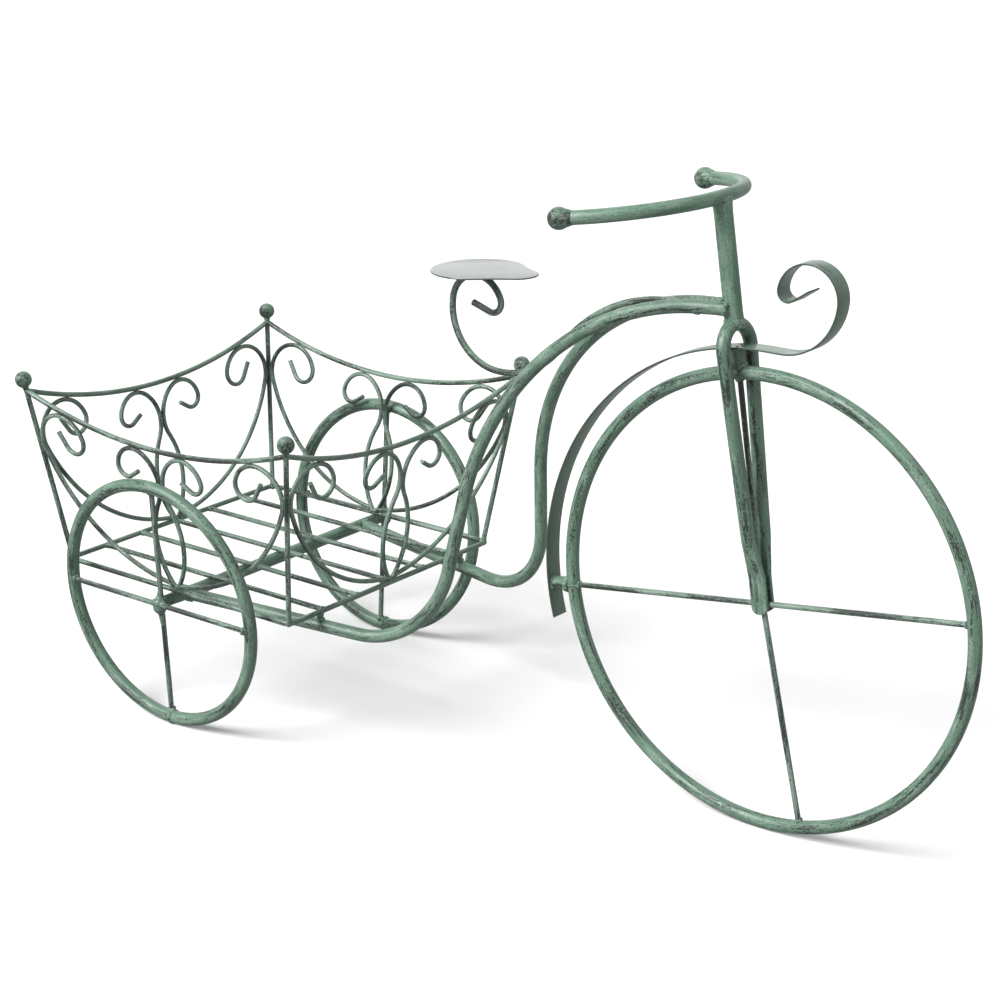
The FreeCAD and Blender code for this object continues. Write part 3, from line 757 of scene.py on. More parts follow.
def streak_group():
    """Streaks that follow a rod, for rubbed wear and for the pale scuffs that also paint highlights: ragged,
    in patches, thicker at the welds, and thin worn lines.
    """
    n, given, result = node_group("ShaderNodeTree", "Rubbed streaks and painted highlights", [
        ("Vector", VECTOR, None), ("Width", FLOAT, 0.002), ("Length", FLOAT, 0.03), ("Cover", FLOAT, 0.5),
        ("Softness", FLOAT, 0.05), ("Weld", FLOAT, 0.0), ("Rub", FLOAT, 0.6), ("Lines", FLOAT, 0.0)],
        [("Mask", FLOAT, None)])
    place, width, length = given["Vector"], given["Width"], given["Length"]
    total = n.noise(n.scaled(place, width, length), 3.0, 0.62)
    patch = n.noise(n.scaled(place, n.times(width, PATCH_SIZE), n.times(length, PATCH_SIZE)))
    speck = n.noise(n.scaled(place, *SPECK), 1.0)
    for part, middle, weight in ((patch, 0.5, PATCH_WEIGHT), (speck, 0.5, SPECK_WEIGHT),
                                 (given["Rub"], RUB_MIDDLE, RUB_WEIGHT)):
        total = n.plus(total, n.times(n.minus(part, middle), weight))
    total = n.plus(total, given["Weld"])
    edge = n.minus(BARE_AT, n.times(given["Cover"], COVER_WEIGHT))
    mask = n.ranged(total, edge, n.plus(edge, given["Softness"]), easing="SMOOTHSTEP")
    off = n.maths("ABSOLUTE", n.minus(n.noise(n.scaled(place, *WANDER), 1.0), 0.5))
    line = n.ranged(off, *LINE_RANGE, 1.0, 0.0)
    dash = n.noise(n.scaled(place, *DASH))
    worn = n.plus(n.times(dash, DASH_WEIGHT), n.times(patch, DASH_PATCH))
    worn = n.ranged(worn, *DASH_RANGE, easing="SMOOTHSTEP")
    line = n.times(n.times(line, worn), given["Lines"])
    n.tree.links.new(n.maths("MAXIMUM", mask, line), result["Mask"])
    return n.tree


def mottle_group():
    """Slow changes of paint over the whole stand, with brushed and pitted fine grain."""
    n, given, result = node_group("ShaderNodeTree", "Paint mottle", [
        ("Vector", VECTOR, None), ("Rod", VECTOR, None)], [(row[0], FLOAT, None) for row in MOTTLE])
    for name, source, across, along, detail in MOTTLE:
        n.tree.links.new(n.noise(n.scaled(given[source], across, along), detail), result[name])
    return n.tree


def paint_material(name, finish, look):
    """Sage paint over iron: mottled, scuffed pale with painted highlights, and rubbed through to dark metal in
    streaks.
    """
    material = bpy.data.materials.new(name)
    material.use_nodes = True
    n = Nodes(material.node_tree)
    n.tree.nodes.clear()
    rod = n.add("ShaderNodeAttribute", attribute_name="rod")["Vector"]
    weld, rub, rim = [n.add("ShaderNodeAttribute", attribute_name=mark)["Fac"]
                      for mark in ("weld", "rub", "edge")]
    place = n.add("ShaderNodeTexCoord")["Object"]
    mottle = n.add("ShaderNodeGroup", {"Vector": place, "Rod": rod},
                   node_tree=once("Paint mottle", mottle_group))

    def streaks(width, length, cover, softness, weld_wear, lines):
        inputs = {"Vector": rod, "Rub": rub, "Width": width, "Length": length, "Cover": cover,
                  "Softness": softness, "Lines": lines}
        if weld_wear:
            inputs["Weld"] = n.times(weld, weld_wear)
        return n.add("ShaderNodeGroup", inputs, node_tree=once("Rubbed streaks and painted highlights", streak_group))["Mask"]

    bare = streaks(finish.width, finish.length, finish.bare * look.wear, BARE_SOFT, finish.welds,
                   finish.lines)
    bare = n.maths("MAXIMUM", bare, n.times(rim, EDGE_WEAR))
    # Pale scuffs, which are also painted highlights on the stem, handlebar and rods
    thin = streaks(finish.width * SCUFF_AND_HIGHLIGHT_WIDTH, finish.length * SCUFF_AND_HIGHLIGHT_LENGTH, finish.pale, SCUFF_AND_HIGHLIGHT_SOFT, 0.0,
                   finish.lines * SCUFF_AND_HIGHLIGHT_LINES)
    base = n.mixed(n.ranged(mottle["Cloud"], *CLOUD_RANGE), full(look.shade), full(look.sage))
    base = n.mixed(n.times(thin, SCUFF_AND_HIGHLIGHT_STRENGTH), base, full(look.pale))
    light = n.times(n.ranged(mottle["Brush"], *BRUSH_RANGE), n.ranged(mottle["Grain"], *SPONGE_RANGE))
    base = n.add("ShaderNodeHueSaturation", {"Saturation": finish.green, "Color": base, "Value": light})[0]
    base = n.mixed(n.times(bare, BARE_STRENGTH), base, full(look.metal))
    rough = n.ranged(mottle["Brush"], *ROUGH_RANGE, look.gloss - SMOOTHER, look.gloss + ROUGHER)
    rough = n.plus(rough, n.times(bare, BARE_ROUGHER))
    height = n.minus(n.times(mottle["Grain"], GRAIN_HEIGHT), n.times(bare, BARE_DEPTH))
    bump = n.add("ShaderNodeBump", {"Strength": BUMP_STRENGTH, "Distance": BUMP_DISTANCE,
                                    "Height": height})[0]
    shader = n.add("ShaderNodeBsdfPrincipled", {
        "Base Color": base, "Roughness": rough, "Normal": bump, "Coat Weight": finish.coat,
        "Coat Roughness": COAT_ROUGHNESS, "Coat IOR": finish.coat_ior})[0]
    n.add("ShaderNodeOutputMaterial", {"Surface": shader})
    return material


# Operators, one for each group of pieces

class STAND_OT_front_wheel(Operator):
    """Sweep the front rim and its three rods"""

    bl_idname = "plant_stand.front_wheel"
    bl_label = "Front wheel"

    def execute(self, context):
        m = Maker(context)
        g = m.g
        rim_r, spoke = g.wheel.front_r, g.stock.spoke_d
        knots = start_at(m.hub - m.level * rim_r)
        bend_to(knots, m.hub, Y, FULL_TURN)
        m.rod("front_rim", knots, g.stock.tube_d, "tube", closed=True)
        reach = rim_r - g.stock.tube_d / 2 * 0.55
        swells = (spoke * 0.16, spoke * 0.16)
        for name, way, start in (("level", m.level, -reach), ("up", m.steer, spoke * 0.4),
                                 ("down", m.down, spoke * 0.4)):
            m.rod("front_spoke_" + name, straight(m.hub + way * start, m.hub + way * reach), spoke, "rod",
                  swells)
        return {"FINISHED"}


class STAND_OT_fork(Operator):
    """Dress the hairpin fork and the stem above it"""

    bl_idname = "plant_stand.fork"
    bl_label = "Fork and stem"

    def execute(self, context):
        m = Maker(context)
        g = m.g
        m.copied("fork", m.hub, m.steer, "tube")
        foot = m.hub + m.steer * (g.wheel.stem_at - g.stock.tube_d * 0.3)
        rise = (g.bar.front_z - foot.z) / m.steer.z
        m.rod("stem", straight(foot, foot + m.steer * rise), g.stock.stem_d, "smooth", ends=(0.0005, 0.0006))
        return {"FINISHED"}


class STAND_OT_handlebar(Operator):
    """Sweep the handlebar and turn its ball ends"""

    bl_idname = "plant_stand.handlebar"
    bl_label = "Handlebar"

    def execute(self, context):
        m = Maker(context)
        b = m.g.bar
        front_x = m.hub.x - (b.front_z - m.hub.z) * math.tan(m.g.wheel.rake)
        points, ways = [], []
        for side in (-1, 1):
            arm = Vector((-math.cos(b.drop) * math.cos(b.splay), side * math.cos(b.drop) * math.sin(b.splay),
                          -math.sin(b.drop)))
            corner = Vector((front_x, side * b.front_half, b.front_z))
            reach = b.bend_r / math.tan(arm.angle(Y * -side) / 2) + b.grip
            points += [corner + arm * reach, corner]
            ways.append(arm * -1)
        points[2:] = reversed(points[2:])
        m.rod("handlebar", corner_route(points, [b.bend_r, b.bend_r]), m.g.stock.tube_d, "smooth")
        for name, point, way in (("right", points[0], ways[0]), ("left", points[-1], ways[1])):
            m.ball("handlebar_ball_" + name, point, way, b.ball_d, m.g.stock.tube_d / 2, b.ball_d * 0.66)
        return {"FINISHED"}


class STAND_OT_mudguard(Operator):
    """Sweep the flat mudguard strip and the two stubs that hold it"""

    bl_idname = "plant_stand.mudguard"
    bl_label = "Mudguard"

    def execute(self, context):
        m = Maker(context)
        g, d = m.g, m.g.guard
        start = (d.ring_r * math.cos(d.foot), d.ring_r * math.sin(d.foot))
        knots = flat_route(m.hub, X, Z, start, d.foot - QUARTER, [
            (d.ring_r, d.top - d.foot), (d.lead,), (d.sweep_r, d.sweep), (d.curl_r, d.curl), (d.tip_r, d.tip),
            (d.tail,)])
        m.rod("mudguard", knots, d.wide, "strip", flat=(d.wide / 2, d.thick / 2), step=0.0025, across=Y)
        for name, way in (("top", m.steer), ("rear", m.level * -1)):
            m.rod("mudguard_stub_" + name, straight(m.hub + way * (g.wheel.front_r + g.stock.tube_d * 0.3),
                                                    m.hub + way * (d.ring_r - d.thick * 0.3)),
                  g.stock.tube_d, "tube", ends=(0.0006, 0.0004), step=0.002)
        return {"FINISHED"}


class STAND_OT_frame_tubes(Operator):
    """Sweep the two bent frame tubes"""

    bl_idname = "plant_stand.frame_tubes"
    bl_label = "Frame tubes"

    def execute(self, context):
        m = Maker(context)
        for name, side in SIDES:
            m.rod("frame_tube_" + name, frame_route(m, side), m.g.stock.tube_d, "frame",
                  ends=(0.0005, 0.0003))
        return {"FINISHED"}


def frame_route(m, side):
    f = m.g.frame
    corners = [Vector((stem_x(m) - f.end_back, side * f.top_y, f.top_z)),
               m.shift + Vector((f.arch_x, side * f.arch_y, f.arch_z)),
               m.shift + Vector((f.low_x, side * f.low_y, f.low_z)),
               m.shift + Vector((0, side * f.axle_y, m.axle_z))]
    up, low = corners[0] - corners[1], corners[2] - corners[1]
    arch_r = (up.length - f.top_run) * math.tan(up.angle(low) / 2)
    return corner_route(corners, [arch_r, f.low_r])


def rear_hub(m, side):
    """Middle of a rear wheel, and its directions up and out."""
    centre = m.shift + Vector((0, side * m.g.wheel.track / 2, m.axle_z))
    spin = Matrix.Rotation(-side * m.g.wheel.camber, 3, "X")
    return centre, spin @ Z, spin @ Y * side


class STAND_OT_rear_wheels(Operator):
    """Sweep the rear rims and their crossing rods, and dress the axle"""

    bl_idname = "plant_stand.rear_wheels"
    bl_label = "Rear wheels"

    def execute(self, context):
        m = Maker(context)
        g = m.g
        spoke, rim_r = g.stock.spoke_d, g.wheel.rear_r
        reach = rim_r - g.stock.tube_d * 0.27
        swells = (spoke * 0.2, spoke * 0.2)
        for name, side in SIDES:
            centre, up, out = rear_hub(m, side)
            knots = start_at(centre - up * rim_r)
            bend_to(knots, centre, out * side, FULL_TURN)
            m.rod("rear_rim_" + name, knots, g.stock.tube_d, "tube", closed=True)
            for kind, way, offset in (("level", X, 0.5), ("upright", up, -0.5)):
                mid = centre + out * (spoke * offset)
                route = straight(mid - way * reach, mid + way * reach)
                m.rod("rear_spoke_%s_%s" % (kind, name), route, spoke, "rod", swells)
        m.copied("rear_axle", m.shift + Z * m.axle_z, Y, "tube")
        return {"FINISHED"}


def slat_y(b, number):
    """Where a slat lies across the basket."""
    return b.base / (b.slats + 1) * (number + 1) - b.base / 2


def lug_foot(m, side):
    """Middle of the frame tube under a lug, ahead of the rear axle."""
    f = m.g.frame
    x = m.g.basket.fwd + m.g.basket.base / 2
    at = x / f.low_x
    return x, side * (f.axle_y + (f.low_y - f.axle_y) * at), m.axle_z + (f.low_z - m.axle_z) * at


class STAND_OT_basket_floor(Operator):
    """Sweep the floor rod, the slats across it and the lugs under it"""

    bl_idname = "plant_stand.basket_floor"
    bl_label = "Basket floor"

    def execute(self, context):
        m = Maker(context)
        g, b = m.g, m.g.basket
        wire, half = g.stock.wire_d, b.base / 2
        run = b.base - 2 * b.corner_r
        knots = flat_route(m.basket, X, Y, (-run / 2, -half), 0, [(run,), (b.corner_r, QUARTER)] * 4)
        m.rod("base_rod", knots, wire, "rod", closed=True)
        reach = half - wire * 0.2
        for number in range(b.slats):
            y = slat_y(b, number)
            route = straight(m.basket + Vector((-reach, y, 0)), m.basket + Vector((reach, y, 0)))
            m.rod("slat_%d" % (number + 1), route, wire, "rod", (wire * 0.13, wire * 0.13))
        for name, side in SIDES:
            x, y, z = lug_foot(m, side)
            low, high = m.shift + Vector((x, y, z)), m.shift + Vector((x, y, m.base_z))
            m.rod("basket_lug_" + name, straight(low.lerp(high, 0.2), high), g.stock.lug_d, "rod",
                  ends=(0.0008, 0.0005), step=0.001)
        return {"FINISHED"}


def corner_foot(b):
    """From the middle of the basket to the foot of a corner post, along a side."""
    return b.base / 2 - b.corner_r * (1 - math.cos(QUARTER / 2))


def corner_line(m, sx, sy):
    """Foot and head of a corner post."""
    b = m.g.basket
    foot = corner_foot(b)
    return (m.basket + Vector((sx * foot, sy * foot, 0)),
            m.basket + Vector((sx * b.top / 2, sy * b.top / 2, b.top_z - m.base_z)))


CORNERS = (("front_left", 1, 1), ("front_right", 1, -1), ("rear_left", -1, 1), ("rear_right", -1, -1))


class STAND_OT_basket_corners(Operator):
    """Sweep the corner posts and turn their finials"""

    bl_idname = "plant_stand.basket_corners"
    bl_label = "Basket corners"

    def execute(self, context):
        m = Maker(context)
        d, wire = m.g.basket.finial_d, m.g.stock.wire_d
        for name, sx, sy in CORNERS:
            foot, head = corner_line(m, sx, sy)
            way = (foot - head).normalized()
            m.rod("post_" + name, straight(foot, head + way * (d * 0.3)), wire, "rod", (wire * 0.16, 0))
            m.ball("finial_" + name, head, way, d, wire / 2, d * 0.68)
        return {"FINISHED"}


def side_shapes(m):
    """Flat routes on a basket side, s along it from its middle and h up its slope."""
    b, stock = m.g.basket, m.g.stock
    wire_r, scroll_r = stock.wire_d / 2, stock.scroll_d / 2
    foot = corner_foot(b)
    flare = b.top / 2 - foot
    slope = math.hypot(b.top_z - m.base_z, flare)
    rail_h = slope - b.rail_drop
    rail_s = foot + flare * rail_h / slope
    rail_r = (rail_s * rail_s + b.rail_sag * b.rail_sag) / (2 * b.rail_sag)
    rail_c = (0, rail_h - b.rail_sag + rail_r)
    rail_half = math.asin(rail_s / rail_r)
    under = rail_r + wire_r + scroll_r
    rail = ((-rail_s, rail_h), -rail_half, [(rail_r, 2 * rail_half)])
    off = (b.outer_curl_r + scroll_r + wire_r) * math.hypot(slope, flare) / slope
    lean = flare / slope
    first = foot - off
    qa, qb = 1 + lean * lean, first * lean - rail_c[1]
    qc = first * first + rail_c[1] * rail_c[1] - (under + b.outer_curl_r) ** 2
    curl_h = (-qb - math.sqrt(qb * qb - qa * qc)) / qa
    curl_c = (-(first + lean * curl_h), curl_h)
    outer_foot = (-b.outer_foot, wire_r + scroll_r)
    long_c = meet(curl_c, b.outer_long_r - b.outer_curl_r, outer_foot, b.outer_long_r)
    start = math.atan2(outer_foot[1] - long_c[1], outer_foot[0] - long_c[0])
    stop = math.atan2(curl_c[1] - long_c[1], curl_c[0] - long_c[0])
    outer = (outer_foot, start - QUARTER, [
        (b.outer_long_r, (stop - start) % FULL_TURN - FULL_TURN), (b.outer_curl_r, -b.outer_curl),
        (b.outer_tip_r, -b.outer_tip), (b.outer_tail,)])
    step = b.shoulder_r - b.inner_curl_r
    shoulder_s = -(b.shoulder_r + scroll_r)
    inner_s = shoulder_s + step * math.sin(b.meet)
    inner_h = rail_c[1] - math.sqrt((under + b.inner_curl_r) ** 2 - inner_s * inner_s)
    shoulder_c = (shoulder_s, inner_h + step * math.cos(b.meet))
    inner_foot = (-scroll_r, wire_r)
    belly_c = meet(shoulder_c, b.shoulder_r + b.belly_r, inner_foot, b.belly_r)
    start = math.atan2(inner_foot[1] - belly_c[1], inner_foot[0] - belly_c[0])
    stop = math.atan2(shoulder_c[1] - belly_c[1], shoulder_c[0] - belly_c[0])
    belly = (stop - start) % FULL_TURN - FULL_TURN
    inner = (inner_foot, start - QUARTER, [
        (b.belly_r, belly), (b.shoulder_r, (b.meet - (start - QUARTER + belly)) % FULL_TURN),
        (b.inner_curl_r, b.inner_curl), (b.inner_tip_r, b.inner_tip), (b.inner_tail,)])
    # Where the rods of a side touch, and the radius of the weld there
    touches = [(rail_s, rail_h, 0.0026), (0, shoulder_c[1], 0.0014), (0, wire_r * 1.2, 0.0028)]
    for centre, radius in ((curl_c, b.outer_curl_r), ((inner_s, inner_h), b.inner_curl_r)):
        gap = math.hypot(centre[0], centre[1] - rail_c[1])
        out = (rail_r + wire_r) / gap
        touches.append((centre[0] * out, rail_c[1] + (centre[1] - rail_c[1]) * out, 0.0016))
    side = math.hypot(slope, flare)
    push = b.outer_curl_r + scroll_r
    touches.append((curl_c[0] - push * slope / side, curl_c[1] + push * flare / side, 0.0016))
    return foot, flare, rail, outer, inner, touches


def basket_sides(m):
    """Name, foot, level direction and slope of each basket side."""
    foot, flare = side_shapes(m)[:2]
    for number, name in enumerate(("front", "left", "rear", "right")):
        spin = Matrix.Rotation(QUARTER * number, 3, "Z")
        up = spin @ (X * flare + Z * (m.g.basket.top_z - m.base_z)).normalized()
        yield name, m.basket + spin @ (X * foot), spin @ Y, up


class STAND_OT_basket_sides(Operator):
    """Sweep the rail and the four scrolls of each basket side"""

    bl_idname = "plant_stand.basket_sides"
    bl_label = "Basket sides"

    def execute(self, context):
        m = Maker(context)
        stock = m.g.stock
        rail, outer, inner = side_shapes(m)[2:5]
        for name, origin, across, up in basket_sides(m):
            m.rod("rail_" + name, flat_route(origin, across, up, *rail), stock.wire_d, "rod")
            for kind, shape, swell in (("inner", inner, 0.0006), ("outer", outer, 0.0004)):
                for mark, way in (("1", across), ("2", across * -1)):
                    m.rod("scroll_%s_%s_%s" % (name, kind, mark), flat_route(origin, way, up, *shape),
                          stock.scroll_d, "rod", (swell, 0))
        return {"FINISHED"}


class STAND_OT_saddle(Operator):
    """Sweep the curled saddle rod and dress the plate on it"""

    bl_idname = "plant_stand.saddle"
    bl_label = "Saddle"

    def execute(self, context):
        m = Maker(context)
        s, stock = m.g.saddle, m.g.stock
        knots = flat_route(Vector(), X, Z, perch_start(m), s.heading, [
            (s.over_r, s.over), (s.dip_r, -s.dip), (s.sweep_r, -s.sweep), (s.loop_r, -s.loop),
            (s.tip_r, -s.tip), (s.tail,)])
        m.rod("saddle_rod", knots, stock.perch_d, "rod")
        low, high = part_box("saddle")
        m.copied("saddle", (low + high) / 2, X, "plate", bevel=s.edge)
        return {"FINISHED"}


def stem_x(m):
    """Where the middle of the stem is, at the height of the frame tubes."""
    return m.hub.x - (m.g.frame.top_z - m.hub.z) * math.tan(m.g.wheel.rake)


def perch_start(m):
    """Front end of the saddle rod, wedged between the frame tubes."""
    return stem_x(m) - m.g.saddle.back, m.g.frame.top_z - m.g.saddle.down


# Rings of weld: least number of drops, how they wander along the rod, and how their sizes vary
LEAST_DROPS = 6
WANDER_SHARE, WANDER_STEP, WANDER_START = 0.35, 1.7, 9000
SIZE_SHARE, SIZE_STEP = 0.25, 2.4


def bead(centre, way, ring_r, r, gap=0.9):
    """Drops of weld in a ring about a direction."""
    way = way.normalized()
    u = way.orthogonal().normalized()
    v = way.cross(u)
    count = max(LEAST_DROPS, round(FULL_TURN * ring_r / (r * gap)))
    for k in range(count):
        a = FULL_TURN * k / count
        wander = way * (r * WANDER_SHARE * math.sin(k * WANDER_STEP + r * WANDER_START))
        place = centre + (u * math.cos(a) + v * math.sin(a)) * ring_r + wander
        yield place, r * (1 + SIZE_SHARE * math.sin(k * SIZE_STEP))


def fillet(p, q, r, s, count=7):
    """Drops of weld along a line, from one radius to another."""
    for k in range(count):
        at = k / (count - 1)
        yield p.lerp(q, at), r + (s - r) * math.sqrt(at)


# Gap between the drops of a ring that run closely together, in radii
CLOSE = 0.6
# Mound over each tube end at the stem: its rows, in tube radii from the middle
MOUND_ROWS = (-0.5, -0.15, 0.2, 0.5)
# Weld over the top of both tubes: drops across the stem, then a waving run backwards
CROWN_ROWS, CROWN_STEP = (-1.8, -1, 0, 1, 1.8), 0.0035
RUN_DROPS, RUN_STEP, RUN_WAVE, RUN_FALL = 20, 0.0018, 0.0012, 0.00024
# Drip under the near tube, behind the middle of the stem
DRIP_BACK, DRIP_LINE = 0.0355, Vector((0.0045, 0.001, 0.0002))


class STAND_OT_front_welds(Operator):
    """Run weld beads at the front wheel, fork, stem, handlebar and mudguard"""

    bl_idname = "plant_stand.front_welds"
    bl_label = "Front welds"

    def execute(self, context):
        m = Maker(context)
        g, f, mid = m.g, m.g.frame, stem_x(m)
        tube_r, stem_r, spoke_r = g.stock.tube_d / 2, g.stock.stem_d / 2, g.stock.spoke_d / 2
        drops = []
        # Rods at the hub and at the rim
        for way in (m.level, m.level * -1, m.steer, m.down):
            drops += fillet(m.hub, m.hub + way * 0.012, spoke_r * 1.5, spoke_r * 0.9)
            drops += bead(m.hub + way * (g.wheel.front_r - tube_r * 1.02), way, spoke_r * 1.05, 0.0014)
        # Stubs of the mudguard, and the seam of the rim
        for way in (m.steer, m.level * -1):
            drops += bead(m.hub + way * (g.wheel.front_r + tube_r), way, tube_r, 0.0022)
            drops += bead(m.hub + way * (g.guard.ring_r - g.guard.thick / 2), way, tube_r, 0.0016)
        drops += bead(m.hub - m.level * g.wheel.front_r, m.steer, tube_r * 0.97, 0.0009)
        # Stem on the fork and under the handlebar
        foot = m.hub + m.steer * (g.wheel.stem_at + tube_r * 0.45)
        head = foot + m.steer * ((g.bar.front_z - foot.z) / m.steer.z - tube_r * 0.62)
        for place, ring, r in ((foot, 0.9, 0.0016), (foot - m.steer * 0.003, 0.84, 0.0026),
                               (head, 0.9, 0.0014)):
            drops += bead(place, m.steer, stem_r * ring, r, CLOSE)
        # Frame tubes on the stem
        for side in (1, -1):
            end = Vector((mid - f.end_back * 0.4, side * (f.top_y + 0.0006), f.top_z))
            drops += bead(end, X, tube_r * 0.94, 0.0019, 0.8)
            inward = Vector((stem_r * 0.5, -side * stem_r * 0.25, 0))
            for row in MOUND_ROWS:
                cap = Vector((mid - f.end_back, side * stem_r * 1.1, f.top_z + tube_r * row))
                drops += fillet(cap, cap + inward, 0.0026, 0.0014, 5)
            under = Vector((0.004, -side * 0.0016, -tube_r * 1.5))
            drops += fillet(end - Z * (tube_r * 0.5), end + under, 0.0030, 0.0016)
        # Over the top of both tubes, round the end of the saddle rod
        crown = Vector((mid - stem_r * 0.9, 0, f.top_z + tube_r * 0.8))
        drops += [(crown + Vector((0, CROWN_STEP * row, tube_r * 0.2)), 0.0023) for row in CROWN_ROWS]
        for k in range(RUN_DROPS):
            run = Vector((-RUN_STEP * k, RUN_WAVE * math.sin(k * 1.9), -RUN_FALL * k))
            drops.append((crown + run, 0.0029 + 0.0006 * math.sin(k * 2.3)))
        drip = Vector((mid - DRIP_BACK, -f.top_y, f.top_z - tube_r * 1.28))
        drops += fillet(drip, drip + DRIP_LINE, 0.0020, 0.0027, 4)
        m.welds("front_welds", drops)
        return {"FINISHED"}


class STAND_OT_rear_welds(Operator):
    """Run weld beads at the rear hubs, rims, axle and frame tubes"""

    bl_idname = "plant_stand.rear_welds"
    bl_label = "Rear welds"

    def execute(self, context):
        m = Maker(context)
        g = m.g
        tube_r, spoke = g.stock.tube_d / 2, g.stock.spoke_d
        drops = []
        for side in (1, -1):
            centre, up, out = rear_hub(m, side)
            # Lump at the hub, drawn out along the rods, and the rods' ends at the rim
            lump = centre - out * 0.004
            drops += [(centre, spoke * 1.3), (lump, spoke * 1.35), (centre - up * 0.004, spoke * 1.25)]
            for way, offset, reach in ((X, 0.5, 0.011), (X * -1, 0.5, 0.010), (up, -0.5, 0.014),
                                       (up * -1, -0.5, 0.024)):
                mid = centre + out * (spoke * offset)
                drops += fillet(centre, mid + way * reach, spoke * 1.05, spoke * 0.48, 9)
                drops += bead(mid + way * (g.wheel.rear_r - tube_r), way, spoke * 0.56, 0.0015)
            drops += fillet(lump, centre - out * 0.016, spoke * 1.1, spoke * 0.55, 6)
            # Seam of the rim, and the frame tube at the axle
            drops += bead(centre - up * g.wheel.rear_r + X * 0.004, X, tube_r * 0.94, 0.0017)
            joint = m.shift + Vector((tube_r * 0.9, side * g.frame.axle_y, m.axle_z))
            drops += bead(joint, X, tube_r * 0.95, 0.0018)
        m.welds("rear_welds", [(place, r) for place, r in drops if place.z > r])
        return {"FINISHED"}


class STAND_OT_basket_welds(Operator):
    """Run weld beads where the basket's rods touch each other"""

    bl_idname = "plant_stand.basket_welds"
    bl_label = "Basket welds"

    def execute(self, context):
        m = Maker(context)
        b, stock = m.g.basket, m.g.stock
        wire_r, half = stock.wire_d / 2, b.base / 2
        under = m.base_z - wire_r
        drops = []
        for _, sx, sy in CORNERS:
            foot, head = corner_line(m, sx, sy)
            drops += fillet(foot, foot.lerp(head, 0.03), wire_r * 1.35, wire_r * 1.02, 5)
        touches = side_shapes(m)[5]
        for _, origin, across, up in basket_sides(m):
            for s, h, r in touches:
                for sign in ((1, -1) if s else (1,)):
                    drops.append((origin + across * (s * sign) + up * h, r))
        for number in range(b.slats):
            y = slat_y(b, number)
            drops.append((m.shift + Vector((0, y, under)), 0.0017))
            for end in (-1, 1):
                drops += bead(m.basket + Vector((end * (half - wire_r), y, 0)), X, wire_r * 0.95, 0.0009)
        for side in (1, -1):
            drops.append((m.shift + Vector((0, side * half, under)), 0.0026))
            x, y, z = lug_foot(m, side)
            drops += bead(m.shift + Vector((x, y, z + stock.tube_d / 2)), Z, stock.lug_d * 0.52, 0.0016)
            drops += bead(m.shift + Vector((x, y, under)), Z, stock.lug_d * 0.45, 0.0013)
        m.welds("basket_welds", drops)
        return {"FINISHED"}


# Floor of the stage, and the white sky as it shows in gloss and as it lights
FLOOR_SIDE, FLOOR_Z, FLOOR_ROUGHNESS = 400, -0.0005, 0.9
SKY_GLOSS, SKY_LIGHT = 0.75, 0.26
# Lights: name, where it comes from, spread in degrees, and strength
LIGHTS = (("key", (-0.7, -1.7, 1.6), 34, 4.2), ("fill", (2.3, 0.6, 1.5), 50, 0.5),
          ("back", (-1.48, 1.85, 0.85), 52, 0.40))
SENSOR = 36


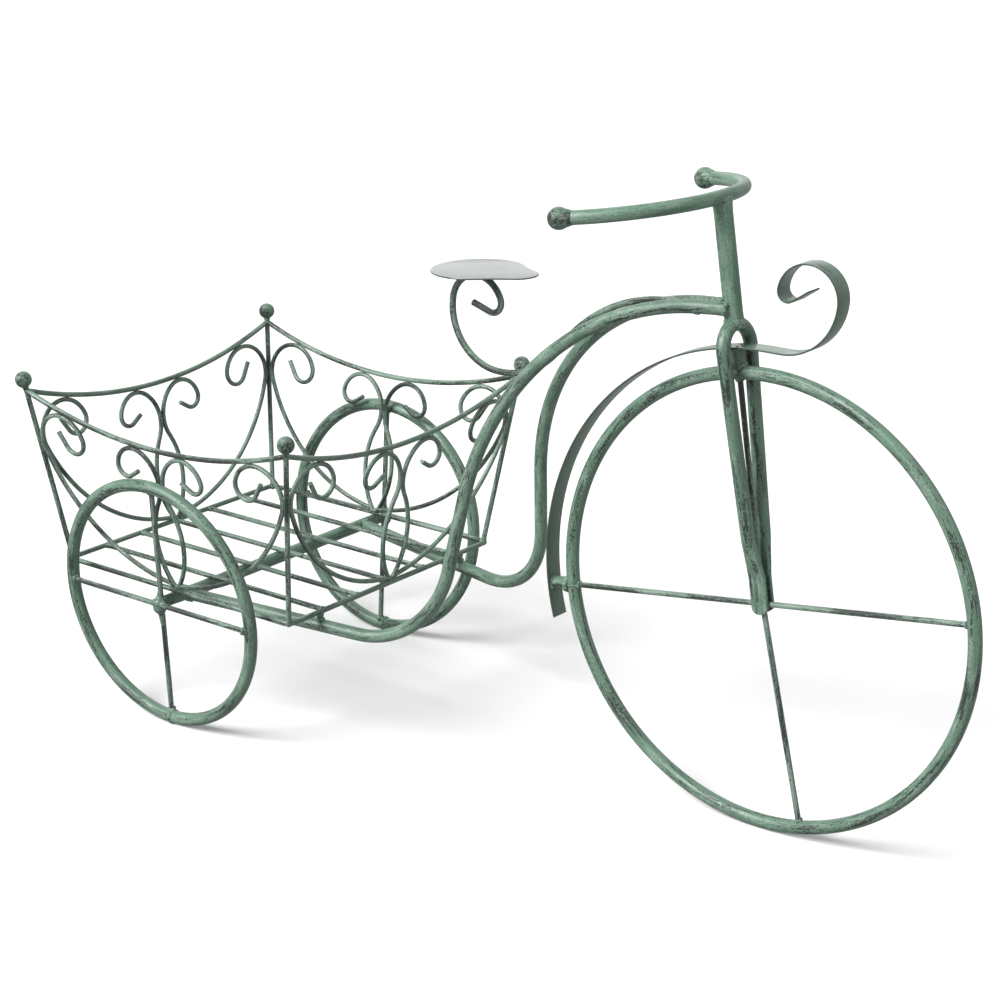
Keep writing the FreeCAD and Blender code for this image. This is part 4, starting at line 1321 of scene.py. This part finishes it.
class STAND_OT_stage(Operator):
    """Lay the floor, hang the lights and set the camera"""

    bl_idname = "plant_stand.stage"
    bl_label = "Stage"

    def execute(self, context):
        scene = context.scene
        look = scene.plant_stand.stage
        bpy.ops.mesh.primitive_grid_add(x_subdivisions=2, y_subdivisions=2, size=FLOOR_SIDE,
                                        location=(0, 0, FLOOR_Z))
        floor = context.object
        floor.name = "studio_floor"
        material = bpy.data.materials.new("studio_floor")
        material.use_nodes = True
        n = Nodes(material.node_tree)
        rays = n.add("ShaderNodeLightPath")
        tone = n.mixed(rays["Is Glossy Ray"], full(look.bounce), full(look.mirrored))
        tone = n.mixed(rays["Is Camera Ray"], tone, full(look.floor))
        shader = n.tree.nodes["Principled BSDF"].inputs
        n.tree.links.new(tone, shader["Base Color"])
        shader["Roughness"].default_value = FLOOR_ROUGHNESS
        floor.data.materials.append(material)
        world = bpy.data.worlds.new("studio_white")
        world.use_nodes = True
        n = Nodes(world.node_tree)
        rays = n.add("ShaderNodeLightPath")
        strength = n.maths("MAXIMUM", n.times(rays["Is Glossy Ray"], SKY_GLOSS), SKY_LIGHT * look.light)
        strength = n.maths("MAXIMUM", strength, rays["Is Camera Ray"])
        sky = n.tree.nodes["Background"].inputs
        n.tree.links.new(strength, sky["Strength"])
        sky["Color"].default_value = (1, 1, 1, 1)
        scene.world = world
        scene.view_settings.view_transform = "Standard"
        for name, place, spread, power in LIGHTS:
            light = bpy.data.lights.new(name, "SUN")
            light.angle = math.radians(spread)
            light.energy = power * look.light
            lamp = placed(name, light)
            lamp.location = place
            lamp.rotation_mode = "QUATERNION"
            lamp.rotation_quaternion = Vector(place).to_track_quat("Z", "Y")
        ahead = Vector((math.cos(look.yaw) * math.cos(look.pitch), math.sin(look.yaw) * math.cos(look.pitch),
                        -math.sin(look.pitch)))
        right = Vector((math.sin(look.yaw), -math.cos(look.yaw), 0))
        up = right.cross(ahead)
        spun_right = right * math.cos(look.roll) + up * math.sin(look.roll)
        spun_up = up * math.cos(look.roll) - right * math.sin(look.roll)
        data = bpy.data.cameras.new("photo_view")
        data.sensor_width = SENSOR
        data.lens = look.lens
        camera = placed("photo_view", data)
        turned = Matrix((spun_right, spun_up, ahead * -1)).transposed().to_4x4()
        camera.matrix_world = Matrix.Translation(Vector(look.eye)) @ turned
        scene.camera = camera
        return {"FINISHED"}


class STAND_PT_panel(Panel):
    """Lists the steps that dress the stand"""

    bl_idname = "STAND_PT_panel"
    bl_label = "Plant stand"
    bl_space_type = "VIEW_3D"
    bl_region_type = "UI"
    bl_category = "Plant stand"

    def draw(self, context):
        for operator in OPERATORS:
            self.layout.operator(operator.bl_idname, text=operator.bl_label)
        for group in ("stock", "paint", "stage"):
            box = self.layout.box()
            settings = getattr(context.scene.plant_stand, group)
            for name in settings.__annotations__:
                box.prop(settings, name)


OPERATORS = (STAND_OT_front_wheel, STAND_OT_fork, STAND_OT_handlebar, STAND_OT_mudguard, STAND_OT_frame_tubes,
             STAND_OT_rear_wheels, STAND_OT_basket_floor, STAND_OT_basket_corners, STAND_OT_basket_sides,
             STAND_OT_saddle, STAND_OT_front_welds, STAND_OT_rear_welds, STAND_OT_basket_welds,
             STAND_OT_stage)
CLASSES = (StockSizes, WheelSizes, BarSizes, GuardSizes, FrameSizes, BasketSizes, SaddleSizes, PaintLook,
           StageLook, StandSettings, *OPERATORS, STAND_PT_panel)


def register():
    for cls in CLASSES:
        bpy.utils.register_class(cls)
    bpy.types.Scene.plant_stand = PointerProperty(type=StandSettings)


def unregister():
    del bpy.types.Scene.plant_stand
    for cls in reversed(CLASSES):
        bpy.utils.unregister_class(cls)


def main():
    register()
    for operator in OPERATORS:
        family, name = operator.bl_idname.split(".")
        getattr(getattr(bpy.ops, family), name)()


if __name__ == "__main__":
    main()
